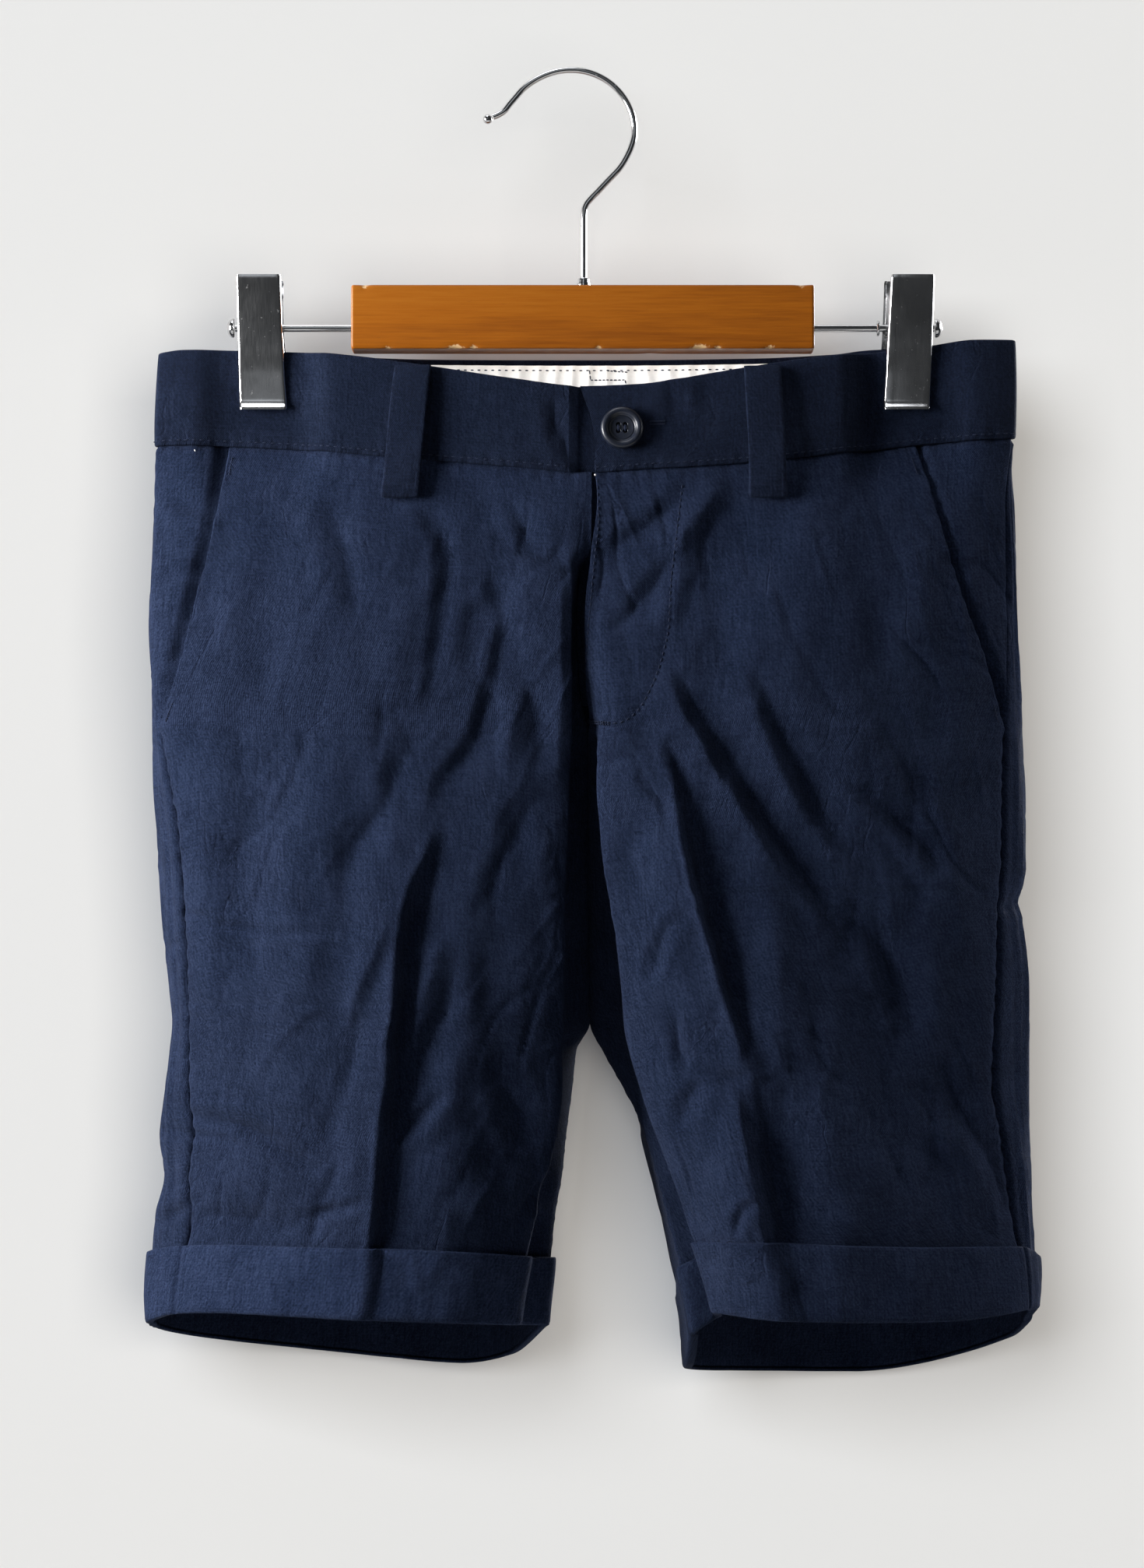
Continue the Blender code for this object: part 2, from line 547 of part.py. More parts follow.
def band_piece(name, side, ring, rows, collection, off=PROUD, thick=BAND, look="twill"):
    down = np.linspace(0, 1, rows)[:, None]
    drop = waist_drop(side, ring, "top") * (1 - down) + waist_drop(side, ring, "seam") * down
    return cloth_wall(name, side, np.broadcast_to(ring, drop.shape), drop, thick, look, collection,
                      off=off, bottom=GAP / 2 + 0.02, first=GAP / 2, last=GAP / 2)


def waistband_left(collection, columns=24, rows=4):
    """Follows its ring to the middle, then runs on behind the right band's end."""
    ring = np.linspace(FOLD, 0.088, columns)
    down = np.linspace(0, 1, rows)[:, None]
    drop = waist_drop("left", ring, "top") * (1 - down) + waist_drop("left", ring, "seam") * down
    ring = np.broadcast_to(ring, drop.shape)
    normals = outward("left", ring, drop)
    outer = form("left", ring, drop) + normals * PROUD
    x = np.array([2.0, 8.0, 14.0, 20.0, 28.0, UNDERLAP_END])
    tail_drop = smooth(WAIST["front"]["x"], WAIST["front"]["top"], x) * (1 - down) + smooth(
        WAIST["front"]["x"], WAIST["front"]["seam"], x) * down
    near = np.maximum(np.broadcast_to(x, tail_drop.shape), 9.0)
    level = form("right", ring_at("right", near, tail_drop), tail_drop)[..., 1]
    tail = np.stack([np.broadcast_to(x, level.shape), level - PROUD + BAND + 0.45, -tail_drop], -1)
    back = np.broadcast_to(np.array([0.0, -1.0, 0.0]), tail.shape)
    outer = drawn_in(np.concatenate([outer, tail], 1), bottom=GAP / 2 + 0.02, first=GAP / 2)
    normals = np.concatenate([normals, back], 1)
    return wall("waistband_left", outer, outer - normals * BAND, "twill", collection)


def back_band_grid(columns=24, rows=4):
    """Outer points and normals of the back waistband, from one side fold over the middle to the other."""
    share = np.linspace(0, 1, columns)
    points, normals = [], []
    for side, ring in (("left", FOLD + (1 - FOLD) * share), ("right", 1 - (1 - FOLD) * share[1:])):
        down = np.linspace(0, 1, rows)[:, None]
        drop = waist_drop(side, ring, "top") * (1 - down) + waist_drop(side, ring, "seam") * down
        normal = outward(side, ring, drop)
        points.append(form(side, ring, drop) + normal * PROUD)
        normals.append(normal)
    return np.concatenate(points, 1), np.concatenate(normals, 1)


def waistband_back(collection):
    points, normals = back_band_grid()
    outer = drawn_in(points, bottom=GAP / 2 + 0.02, first=GAP / 2, last=GAP / 2)
    wall("waistband_back", outer, outer - normals * BAND, "twill", collection)


def resampled(grid, rows, columns):
    """A grid's values at fractional row and column numbers, straight between its points."""
    down = np.stack([(1 - r % 1) * grid[int(r)] + (r % 1) * grid[min(int(r) + 1, len(grid) - 1)]
                     for r in rows])
    low = columns.astype(int)
    high = np.minimum(low + 1, grid.shape[1] - 1)
    part = (columns - low)[None, :, None]
    return down[:, low] * (1 - part) + down[:, high] * part


def waistband_lining(collection, gathers_from=-66.0, gathers_to=80.0, pitch=7.4):
    """Lies inside the back band and is puckered between two places by the elastic."""
    points, normals = back_band_grid()
    plain, middle, puckered = 20, points.shape[1] // 2, 10
    columns = np.concatenate([np.arange(middle - plain, middle - puckered),
                              np.arange(middle - puckered, middle + puckered, 1 / 3),
                              np.arange(middle + puckered, middle + plain + 1)])
    rows = (0.15, 1, 2, 2.85)
    line, normal = resampled(points, rows, columns), resampled(normals, rows, columns)
    x = line[..., 0]
    across = ease(gathers_from, gathers_from + 12, x) * (1 - ease(gathers_to - 12, gathers_to, x))
    pucker = 0.45 * across * (1 + np.cos(2 * math.pi * x / pitch))
    outer = line - normal * (BAND + GAP + 0.05 + pucker)[..., None]
    wall("waistband_lining", outer, outer - normal * LINING, "lining", collection)


def belt_loop(name, side, x_top, x_bottom, below, collection, behind=False, width=14.0, rows=13):
    """A strip from the waistband's top edge to below its seam, standing off the band between them."""
    low, high = (FOLD, 1.0) if behind else (0.0, SEAM)
    edge = WAIST["back" if behind else "front"]
    top = smooth(edge["x"], edge["top"], np.array([x_top]))[0] + 0.8
    bottom = smooth(edge["x"], edge["seam"], np.array([x_bottom]))[0] + below
    along = np.linspace(0, 1, rows)[:, None]
    across = np.array([-0.5, 0.0, 0.5])[None, :]
    drop = np.broadcast_to(top + (bottom - top) * along, (rows, 3))
    x = x_top + (x_bottom - x_top) * along + width * across
    ring = ring_at(side, x, drop, low, high)
    normals = outward(side, ring, drop)
    lift = PROUD + GAP + 0.1 + 2.9 * np.sin(math.pi * np.clip(along * 1.02, 0, 1)) ** 0.7
    thick = LOOP + 0.8 * ease(0.90, 0.94, along)
    inner = form(side, ring, drop) + normals * lift[..., None]
    return wall(name, inner + normals * thick[..., None], inner, "twill", collection)


def belt_loops(collection):
    belt_loop("belt_loop_front_left", "left", -61.2, -65.6, 16.0, collection)
    belt_loop("belt_loop_front_right", "right", 72.4, 74.4, 14.4, collection)
    belt_loop("belt_loop_back_left", "left", -90.0, -91.0, 13.0, collection, behind=True)
    belt_loop("belt_loop_back_right", "right", 98.0, 99.0, 13.0, collection, behind=True)


def centre_loop(collection, width=14.0, rows=13):
    """The loop over the back's middle seam, level across both rings."""
    along = np.linspace(0, 1, rows)[:, None]
    middle = np.full((rows, 1), 0.999)
    drop = 111.6 + (147.2 + 13.0 - 111.6) * along
    spine = form("left", middle, drop)
    lift = PROUD + GAP + 0.25 + 2.9 * np.sin(math.pi * np.clip(along * 1.02, 0, 1)) ** 0.7
    across = np.array([-0.5, 0.0, 0.5])[None, :]
    inner = spine + np.stack([width * across + 0 * lift, lift + 0 * across, 0 * lift + 0 * across], -1)
    return wall("belt_loop_back_centre", inner + (0, LOOP, 0), inner, "twill", collection)


def cuff(side, collection, thick=1.6):
    """The turn-up: a ring whose section runs down outside the leg and under its raw edge."""
    ring = np.concatenate([FRONT_RING, BACK_RING[1:-1]])
    columns = len(ring)
    top, bottom = hem_drop(side, ring, "top"), hem_drop(side, ring, "bottom")
    middle, under = (top + bottom) / 2, bottom - HEM_TURN + 2 * GAP
    clear = GAP + 0.25
    section = (  # distance out of the leg's face, and drop
        (clear, top), (clear + thick, top + 0.3), (clear + thick + 0.1, middle),
        (clear + thick + 0.2, bottom - 2.0), (clear + thick - 0.5, bottom), (-CLOTH + 0.1, bottom),
        (-CLOTH - 0.2, under), (clear, under), (clear, middle))
    points = []
    for away, drop in section:
        level = np.minimum(drop, bottom)
        points.append(form(side, ring, level) + cuff_normal(side, ring, level) * away)
    points = np.array(points).reshape(-1, 3)
    faces = []
    for a in range(len(section)):
        b = (a + 1) % len(section)
        first, other = np.arange(columns) + a * columns, np.arange(columns) + b * columns
        faces.extend(rim_faces(first, other))
    return closed_mesh("cuff_" + side, points, faces, "twill", collection)


def cuff_normal(side, ring, drop):
    """The leg's normal laid level, so that the cuff's section stays upright."""
    normal = outward(side, ring, drop)
    normal[..., 2] = 0
    return unit(normal)


# ---------------------------------------------------------------- the button


def turned(name, profile, look, collection, steps=24):
    """A solid of revolution about Z: a profile of radius and height, from its top to its bottom."""
    mesh = bpy.data.meshes.new(name)
    points = [(radius * MM, 0, height * MM) for radius, height in profile]
    mesh.from_pydata(points, [(i, i + 1) for i in range(len(points) - 1)], [])
    piece = place(bpy.data.objects.new(name, mesh), look, collection)
    screw = piece.modifiers.new("Turn", "SCREW")
    screw.steps = screw.render_steps = steps
    screw.use_merge_vertices = True
    screw.merge_threshold = 0.00001
    return piece


def aim(piece, centre, direction):
    """Puts a turned piece's Z axis along a direction, at a place in millimetres."""
    piece.location = Vector(centre) * MM
    piece.rotation_mode = "QUATERNION"
    piece.rotation_quaternion = Vector(direction).to_track_quat("Z", "Y")


def button(collection, cutters):
    """A disc with a raised rim, pierced by four sewing holes."""
    profile = ((0, 1.5), (4.6, 1.5), (5.5, 2.5), (6.6, 2.8), (7.7, 2.5), (BUTTON_R, 1.6),
               (BUTTON_R - 0.2, 0.7), (6.8, 0), (0, 0))
    piece = turned("button", profile, "button", collection, steps=32)
    drop = np.array([BUTTON_DROP])
    ring = ring_at("right", np.array([BUTTON_X]), drop)
    normal = outward("right", ring, drop)[0]
    seat = form("right", ring, drop)[0] + normal * (PROUD + GAP + 0.35)
    aim(piece, seat, normal)
    for i in range(4):
        angle = math.radians(45 + 90 * i)
        hole = turned("sewing_hole_%d" % i, ((0, 4), (0.8, 4), (0.8, -2), (0, -2)), "button", cutters, 12)
        hole.hide_render = True
        hole.display_type = "WIRE"
        hole.parent = piece
        hole.location = (1.8 * math.cos(angle) * MM, 1.8 * math.sin(angle) * MM, 0)
        cut = piece.modifiers.new("Sewing hole %d" % i, "BOOLEAN")
        cut.operation = "DIFFERENCE"
        cut.object = hole


# ---------------------------------------------------------------- the hanger


def wire(name, points, radius, look, collection):
    """A round wire along points in millimetres."""
    data = bpy.data.curves.new(name, "CURVE")
    data.dimensions = "3D"
    line = data.splines.new("POLY")
    line.points.add(len(points) - 1)
    line.points.foreach_set("co", np.c_[np.array(points) * MM, np.ones(len(points))].ravel())
    data.bevel_depth = radius * MM
    data.bevel_resolution = 2
    data.use_fill_caps = True
    return place(bpy.data.objects.new(name, data), look, collection)


def hook_line():
    """Centre line of the hook: a bowl whose radius eases from end to end, a neck and a straight shank."""
    bowl = table("angle radius", (138, 26.0), (115, 25.4), (90, 25.2), (50, 24.9), (5, 24.3),
                 (-25, 22.9), (-49, 22.5))
    angles = np.linspace(138, -49, 40)
    radius = smooth(-bowl["angle"], bowl["radius"], -angles)
    turn_x, turn_z = -0.3, -24.0
    arc = np.stack([turn_x + radius * np.cos(np.radians(angles)), 0 * angles,
                    turn_z + radius * np.sin(np.radians(angles))], -1)
    start = [(-30.9, 0, -17.2), (-28.6, 0, -16.2), (-26.7, 0, -15.0), (-24.4, 0, -12.2), (-22.2, 0, -9.6)]
    neck = [(12.2, 0, -43.6), (9.6, 0, -46.4), (7.0, 0, -49.1), (5.3, 0, -51.3), (4.4, 0, -53.8),
            (SHANK_X, 0, -57.0), (SHANK_X, 0, -(BAR["top"] - GAP))]
    return [*start, *arc.tolist(), *neck]


def hook(collection):
    wire("hook", hook_line(), WIRE_R, "chrome", collection)
    ball_r = 1.9
    around = [(ball_r * math.sin(a), ball_r * math.cos(a)) for a in np.linspace(0, math.pi, 9)]
    ball = turned("hook_ball", around, "chrome", collection, steps=16)
    start, after = np.array(hook_line()[0]), np.array(hook_line()[1])
    centre = start + unit(start - after) * (ball_r + GAP)
    aim(ball, centre, (0, 0, 1))
    sleeve = ((WIRE_R + GAP, 3.4), (2.2, 3.2), (2.35, 1.6), (2.35, 0), (WIRE_R + GAP, 0))
    ferrule = turned("ferrule", (*sleeve, sleeve[0]), "chrome", collection)
    aim(ferrule, (SHANK_X, 0, -(BAR["top"] - GAP)), (0, 0, 1))


def bar(collection):
    """The wooden bar: a box with eased edges."""
    mesh = bpy.data.meshes.new("hanger_bar")
    shape = bmesh.new()
    bmesh.ops.create_cube(shape, size=1)
    length, height = BAR["right"] - BAR["left"], BAR["bottom"] - BAR["top"]
    bmesh.ops.scale(shape, vec=(length * MM, 2 * BAR["half_depth"] * MM, height * MM), verts=shape.verts[:])
    bmesh.ops.bevel(shape, geom=shape.edges[:], offset=0.7 * MM, segments=2, affect="EDGES", profile=0.5)
    shape.to_mesh(mesh)
    shape.free()
    piece = place(bpy.data.objects.new("hanger_bar", mesh), "wood", collection)
    middle = ((BAR["left"] + BAR["right"]) / 2, 0, -(BAR["top"] + BAR["bottom"]) / 2)
    piece.location = [value * MM for value in middle]


def rods(collection):
    """A rod out of each end of the bar, through its clip, with a cap riveted on."""
    ends = {"left": (BAR["left"] - GAP, -130.6), "right": (BAR["right"] + GAP, 139.8)}
    cap = ((0, 3.0), (1.6, 2.9), (3.0, 2.2), (3.7, 1.0), (3.7, 0), (0, 0))
    for side, (inner, outer) in ends.items():
        line = [(x, 0, -ROD_DROP) for x in (inner, (inner + outer) / 2, outer)]
        wire("rod_" + side, line, ROD_R, "chrome", collection)
        out = -turn(side)
        piece = turned("rod_cap_" + side, cap, "chrome", collection, 20)
        aim(piece, (outer + out * GAP, 0, -ROD_DROP), (out, 0, 0))
    ring = ((ROD_R + GAP, 1.0), (3.0, 1.0), (3.0, 0), (ROD_R + GAP, 0), (ROD_R + GAP, 1.0))
    aim(turned("rod_washer", ring, "chrome", collection), (117.6, 0, -ROD_DROP), (1, 0, 0))


def clip_plate(name, side, facing, collection, shift=0.0):
    """A pressed plate: a shallow channel that leans in to its jaw and curls out at the lip."""
    drop = np.array([80.0, 86.0, 93.0, ROD_DROP, 107.0, 113.0, 118.0, 124.0, 128.0, 130.6, 132.0])
    low = smooth(CLIPS["drop"], CLIPS[side + "_x0"], drop) + shift
    high = smooth(CLIPS["drop"], CLIPS[side + "_x1"], drop) + shift
    face = smooth(CLIPS["drop"], CLIPS["face"], drop)
    flange = CLIP_METAL + 0.1 + 1.9 * ease(80, 88, drop) * (1 - ease(104, 112, drop))
    metal = CLIP_METAL

    def section(inset, depth_in, reach):
        across = np.stack([low + inset, low + inset, (low + high) / 2, high - inset, high - inset], -1)
        depth = np.stack([face - reach, face - depth_in, face - depth_in, face - depth_in, face - reach], -1)
        return np.stack([across, facing * depth, np.broadcast_to(-drop[:, None], across.shape)], -1)

    outer = section(0.0, 0.0, flange)
    inner = section(metal, metal, flange)
    return wall(name, outer, inner, "chrome", collection)


def clips(collection):
    """Two plates on each rod, with the spring between them round the rod."""
    sleeve = ((ROD_R + GAP, 11), (4.3, 11), (4.3, 0), (ROD_R + GAP, 0), (ROD_R + GAP, 11))
    for side, middle in zip(("left", "right"), CLIP_MIDDLES):
        clip_plate("clip_front_" + side, side, -1, collection)
        clip_plate("clip_back_" + side, side, 1, collection, shift=-1.5 if side == "right" else 0.0)
        spring = turned("clip_spring_" + side, sleeve, "chrome", collection, 20)
        aim(spring, (middle - 6.5, 0, -ROD_DROP), (1, 0, 0))


def main():
    for leftover in list(bpy.data.objects):
        bpy.data.objects.remove(leftover, do_unlink=True)
    shorts = bpy.data.collections.new("Bermuda shorts on clip hanger")
    cutters = bpy.data.collections.new("Cutters")
    for collection in (shorts, cutters):
        bpy.context.scene.collection.children.link(collection)
    cutters.hide_render = True
    for side in ("left", "right"):
        front_panel(side, shorts)
        back_panel(side, shorts)
        pocket_facing(side, shorts)
        cuff(side, shorts)
    fly_underlap(shorts)
    waistband_left(shorts)
    waistband_right(shorts)
    waistband_back(shorts)
    waistband_lining(shorts)
    belt_loops(shorts)
    centre_loop(shorts)
    button(shorts, cutters)
    hook(shorts)
    bar(shorts)
    rods(shorts)
    clips(shorts)


main()
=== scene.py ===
"""Looks of bermuda shorts with turn-ups, hanging by the waistband from a wooden clip hanger.

Sizes are in millimetres until a mesh is made. X runs to the right and Y to the back as seen from the
front; a drop is a distance below the point where the hook bears. "Left" and "right" are as seen from the
front. The cloth is one hollow form: each leg is a ring that runs, at any drop, from the middle seam over
the front crease to the side and back over the back crease, and every sewn piece is a stretch of the rings.
"""

import json
import math

import bpy
import numpy as np
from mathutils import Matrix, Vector

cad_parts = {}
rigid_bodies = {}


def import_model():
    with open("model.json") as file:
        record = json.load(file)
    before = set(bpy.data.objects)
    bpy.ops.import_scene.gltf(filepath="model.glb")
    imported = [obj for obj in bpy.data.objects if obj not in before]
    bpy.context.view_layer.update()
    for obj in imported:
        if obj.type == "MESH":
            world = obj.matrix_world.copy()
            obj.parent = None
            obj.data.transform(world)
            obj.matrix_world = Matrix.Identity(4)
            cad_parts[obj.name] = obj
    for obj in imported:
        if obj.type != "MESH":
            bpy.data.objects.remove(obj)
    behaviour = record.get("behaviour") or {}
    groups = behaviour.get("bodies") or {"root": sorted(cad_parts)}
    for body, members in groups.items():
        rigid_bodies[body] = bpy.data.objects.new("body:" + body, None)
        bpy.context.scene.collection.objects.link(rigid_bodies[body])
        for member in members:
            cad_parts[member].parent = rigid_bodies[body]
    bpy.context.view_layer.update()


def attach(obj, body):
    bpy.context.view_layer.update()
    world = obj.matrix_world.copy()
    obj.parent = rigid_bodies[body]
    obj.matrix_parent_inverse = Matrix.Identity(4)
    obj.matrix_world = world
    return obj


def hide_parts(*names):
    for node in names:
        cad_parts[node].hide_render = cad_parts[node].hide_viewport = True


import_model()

MM = 0.001
CLOTH, BAND, LINING, LOOP = 1.2, 1.8, 0.9, 1.5  # walls of the cloth
GAP = 0.3  # between neighbours
PROUD = 0.5  # how far the waistband stands off the line of the panels
CROTCH = 368.4
POCKET_END, FLY_END = 256.0, 252.0
UNDERLAP_END = 36.0
HEM_TURN = 2.0
BOLD = 1.18  # the folds' height over the named values
# between these drops the hollow beside the middle deepens
HOLLOWS = {"left": (196, 236), "right": (250, 280)}
LEAN = {"left": 0.35, "right": -0.45}  # the small creases run square to this angle
EYE, LEVEL = 1500.0, 350.0  # the front's folds are placed as seen from this far, level with this drop

WIRE_R, ROD_R = 1.25, 1.43
BAR = {"left": -85.4, "right": 93.1, "top": 83.8, "bottom": 108.6, "half_depth": 7.0}
ROD_DROP = 99.6
SHANK_X = 4.2
BUTTON_X, BUTTON_DROP, BUTTON_R = 18.7, 141.2, 8.2


# Where each named line of a ring lies, from the middle seam in front round to the one behind.
STATIONS = {"mid": 0.0, "edge": 0.10, "crease": 0.27, "seam": 0.46, "fold": 0.50,
            "back_crease": 0.73, "back_edge": 0.91, "back_mid": 1.0}
SEAM, FOLD = STATIONS["seam"], STATIONS["fold"]


def table(columns, *rows):
    """One array for each named column."""
    return dict(zip(columns.split(), np.array(rows, float).T))



RING = "drop mid edge crease seam fold back_crease back_edge back_mid"

# X of each line of the rings.
WIDTHS = {
    "left": table(
        RING,
        (100, 7.4, -3.0, -76, -158.6, -159.2, -78, -12, 5.6),
        (146, 7.4, -3.0, -78, -160.6, -161.2, -78, -14, 5.6),
        (186, 7.2, -3.0, -79, -161.2, -161.8, -79, -16, 5.6),
        (196, 2.6, -1.2, -79, -161.4, -162.3, -79, -17, 5.6),
        (214, 1.6, -0.6, -78, -161.2, -163.2, -80, -18, 5.6),
        (240, 2.4, -0.9, -76, -159.9, -161.9, -80, -19, 5.6),
        (258, 5.6, -1.2, -75, -157.6, -161.5, -80, -19, 5.6),
        (273, 5.9, -1.5, -74, -155.1, -161.0, -80, -19, 5.6),
        (296, 5.9, -1.9, -73, -150.9, -159.6, -80, -18, 5.8),
        (328, 6.2, -3.7, -75, -148.5, -158.0, -80, -15, 6.2),
        (354, 6.4, -4.0, -75, -147.9, -155.4, -80, -11, 6.5),
        (CROTCH, 6.6, -4.0, -73, -147.4, -154.2, -80, -8, 6.6),
        (378, 1.6, -3.8, -72, -147.3, -155.0, -80, -6, 1.6),
        (392, 0.0, -3.6, -72, -147.2, -156.5, -80, -5, 0.0),
        (412, -2.6, -5.5, -73, -145.4, -158.0, -81, -6, -2.6),
        (426, -4.0, -9.0, -74.5, -146.8, -156.0, -82, -9, -4.0),
        (441, -6.6, -13.0, -76, -145.4, -159.0, -83, -13, -6.6),
        (457, -8.2, -18.0, -78, -147.8, -160.6, -85, -18, -8.2),
        (484, -10.6, -23.0, -80, -150.6, -161.4, -88, -26, -10.6),
        (510, -11.0, -24.0, -81, -151.0, -161.4, -88, -27, -11.0)),
    "right": table(
        RING,
        (100, 1.0, 14.0, 92, 170.0, 170.6, 92, 24, 5.6),
        (122, 2.2, 14.0, 92, 170.2, 170.8, 92, 24, 5.6),
        (140, 7.2, 17.0, 91, 169.8, 170.5, 92, 24, 5.6),
        (156, 8.2, 18.0, 89, 167.2, 169.6, 92, 25, 5.6),
        (168, 9.2, 18.0, 86, 166.0, 170.4, 92, 26, 5.6),
        (188, 6.9, 16.0, 82, 166.2, 171.0, 93, 27, 5.6),
        (214, 4.4, 14.0, 74, 166.5, 171.7, 93, 28, 5.6),
        (240, 4.8, 13.0, 67, 166.2, 173.0, 94, 29, 5.6),
        (252, 6.2, 12.0, 63, 166.0, 173.6, 94, 29, 5.6),
        (264, 6.0, 10.0, 60, 165.9, 174.1, 95, 30, 5.6),
        (280, 5.8, 9.0, 57, 165.6, 174.6, 95, 30, 5.6),
        (307, 6.0, 11.4, 54, 165.0, 174.6, 96, 29, 5.8),
        (322, 6.2, 14.0, 54, 163.4, 172.0, 96, 28, 6.0),
        (348, 6.5, 18.0, 57, 162.2, 175.0, 97, 24, 6.4),
        (CROTCH, 6.6, 20.8, 61, 161.1, 175.2, 99, 20, 6.6),
        (378, 11.1, 22.6, 62, 160.6, 175.0, 100, 21, 11.1),
        (392, 18.9, 26.0, 64, 160.3, 175.2, 101, 23, 18.9),
        (407, 26.5, 30.5, 66, 163.0, 175.6, 102, 25.5, 26.5),
        (427, 32.5, 38.0, 69.5, 166.4, 176.3, 104, 30, 32.5),
        (444, 36.6, 44.0, 73, 169.0, 176.8, 106, 34.2, 36.6),
        (459, 40.6, 50.0, 77, 171.4, 177.2, 108, 37.5, 40.6),
        (484, 46.0, 56.0, 83, 172.8, 175.8, 110, 43.5, 46.0),
        (510, 48.0, 58.0, 84, 172.8, 175.0, 111, 45.0, 48.0)),
}

# Y of each line of the rings.
DEPTHS = {
    "left": table(
        RING,
        (100, -13.5, -13.0, -10, -1.5, 0.0, 10, 12.5, 12.5),
        (146, -17.5, -17.5, -14, -2.5, 0.5, 14, 17, 17),
        (186, -20.0, -21.5, -21, -5.0, 1.0, 22, 24, 22),
        (197, -12.0, -22.5, -23, -6.0, 1.4, 24, 25, 23),
        (214, -10.0, -24.0, -26, -7.0, 2.0, 27, 28, 24),
        (240, -8.5, -25.0, -29, -9.0, 2.0, 31, 30, 25),
        (273, -3.0, -26.0, -32, -11.0, 2.0, 34, 31, 25),
        (300, 1.0, -26.0, -33.5, -11.5, 2.0, 35.5, 31, 24),
        (328, 3.5, -25.5, -35, -12.0, 2.0, 37, 30, 22),
        (354, 6.5, -24.0, -36, -12.0, 2.0, 38, 28, 17),
        (364, 8.4, -23.4, -36.4, -12.0, 2.0, 38, 27, 12.8),
        (CROTCH, 10.0, -23.0, -36.5, -12.0, 2.0, 38, 27, 10),
        (400, 8.0, -22.0, -37, -12.0, 1.0, 38, 24, 8),
        (440, 4.0, -21.0, -38, -12.0, 1.0, 38, 22, 4),
        (484, 2.0, -20.0, -38, -12.0, 1.0, 38, 22, 2),
        (510, 2.0, -20.0, -38, -12.0, 1.0, 38, 22, 2)),
    "right": table(
        RING,
        (100, -13.5, -13.0, -10, -1.5, 0.0, 10, 12.5, 12.5),
        (146, -17.5, -17.5, -14, -2.5, 0.5, 14, 17, 17),
        (186, -20.5, -21.5, -21, -5.0, 1.0, 22, 24, 22),
        (214, -21.5, -24.0, -26, -7.0, 2.0, 27, 28, 24),
        (240, -20.5, -25.0, -29, -9.0, 2.0, 31, 30, 25),
        (252, -18.5, -25.5, -30, -10.0, 2.0, 32, 30, 25),
        (262, -11.0, -26.0, -31, -10.5, 2.0, 33, 31, 25),
        (273, -3.0, -26.0, -32, -11.0, 2.0, 34, 31, 25),
        (300, 1.0, -26.0, -33.5, -11.5, 2.0, 35.5, 31, 24),
        (328, 3.5, -25.5, -35, -12.0, 2.0, 37, 30, 22),
        (354, 6.5, -24.0, -36, -12.0, 2.0, 39, 28, 17),
        (364, 8.4, -23.5, -36.5, -12.0, 2.0, 40, 26, 12.8),
        (CROTCH, 10.0, -23.0, -37, -12.0, 2.0, 40, 25, 10),
        (392, 4.0, -22.5, -38, -12.0, 2.0, 41, 22, 4),
        (410, -4.0, -23.0, -39, -12.0, 2.0, 42, 18, -4),
        (427, -10.0, -24.0, -40, -12.0, 2.0, 42, 14, -10),
        (459, -13.0, -25.0, -41, -11.0, 2.0, 42, 12, -13),
        (484, -14.0, -25.0, -41, -10.0, 2.0, 42, 12, -14),
        (510, -14.0, -25.0, -41, -10.0, 2.0, 42, 12, -14)),
}

# Drops of the waistband's top edge and of the seam below it, across the front and the back.
WAIST = {
    "front": table(
        "x top seam",
        (-161, 110.1, 145.7), (-152, 109.2, 145.6), (-111, 110.0, 147.0), (-86, 112.4, 149.8),
        (-54, 117.0, 152.8), (-24, 121.6, 155.4), (5.6, 125.0, 157.8), (28, 124.0, 156.4),
        (43, 121.6, 155.6), (63, 117.8, 154.2), (88, 113.6, 151.6), (109, 110.9, 148.6),
        (131, 108.3, 145.6), (152, 105.4, 143.8), (170, 105.0, 142.6)),
    "back": table(
        "x top seam",
        (-161, 110.1, 145.7), (-111, 109.4, 146.0), (-54, 110.6, 147.0), (5.6, 110.6, 147.2),
        (70, 110.2, 147.0), (109, 108.6, 145.6), (131, 107.6, 144.6), (152, 105.4, 143.6),
        (170, 105.0, 142.6)),
}

# Drops of each cuff's two edges round its ring.
HEM = {
    "left": table(
        "ring top bottom",
        (0.00, 457.5, 483.5), (0.10, 455.5, 481.5), (0.26, 451.4, 478.4), (0.40, 451.0, 476.8),
        (0.46, 452.0, 478.0), (0.50, 455.0, 482.5), (0.60, 463.0, 490.5), (0.73, 470.5, 497.5),
        (0.85, 473.0, 500.5), (0.92, 470.0, 496.5), (1.00, 457.5, 483.5)),
    "right": table(
        "ring top bottom",
        (0.00, 460.0, 485.5), (0.05, 455.0, 479.0), (0.10, 450.0, 476.8), (0.26, 449.0, 478.4),
        (0.38, 451.5, 479.5), (0.46, 452.5, 476.5), (0.50, 458.0, 477.5), (0.56, 463.0, 489.5),
        (0.73, 477.0, 505.0), (0.85, 476.0, 503.0), (0.94, 472.0, 499.0), (1.00, 460.0, 485.5)),
}

# X of the slant pockets' opening edges.
POCKETS = table(
    "drop left right",
    (140, -131.4, 128.6), (146, -131.9, 130.4), (156, -133.3, 133.5), (177, -137.0, 140.1),
    (192, -140.0, 144.4), (211, -144.7, 150.4), (227, -148.6, 156.8), (242, -152.4, 161.6),
    (POCKET_END, -157.4, 165.4))

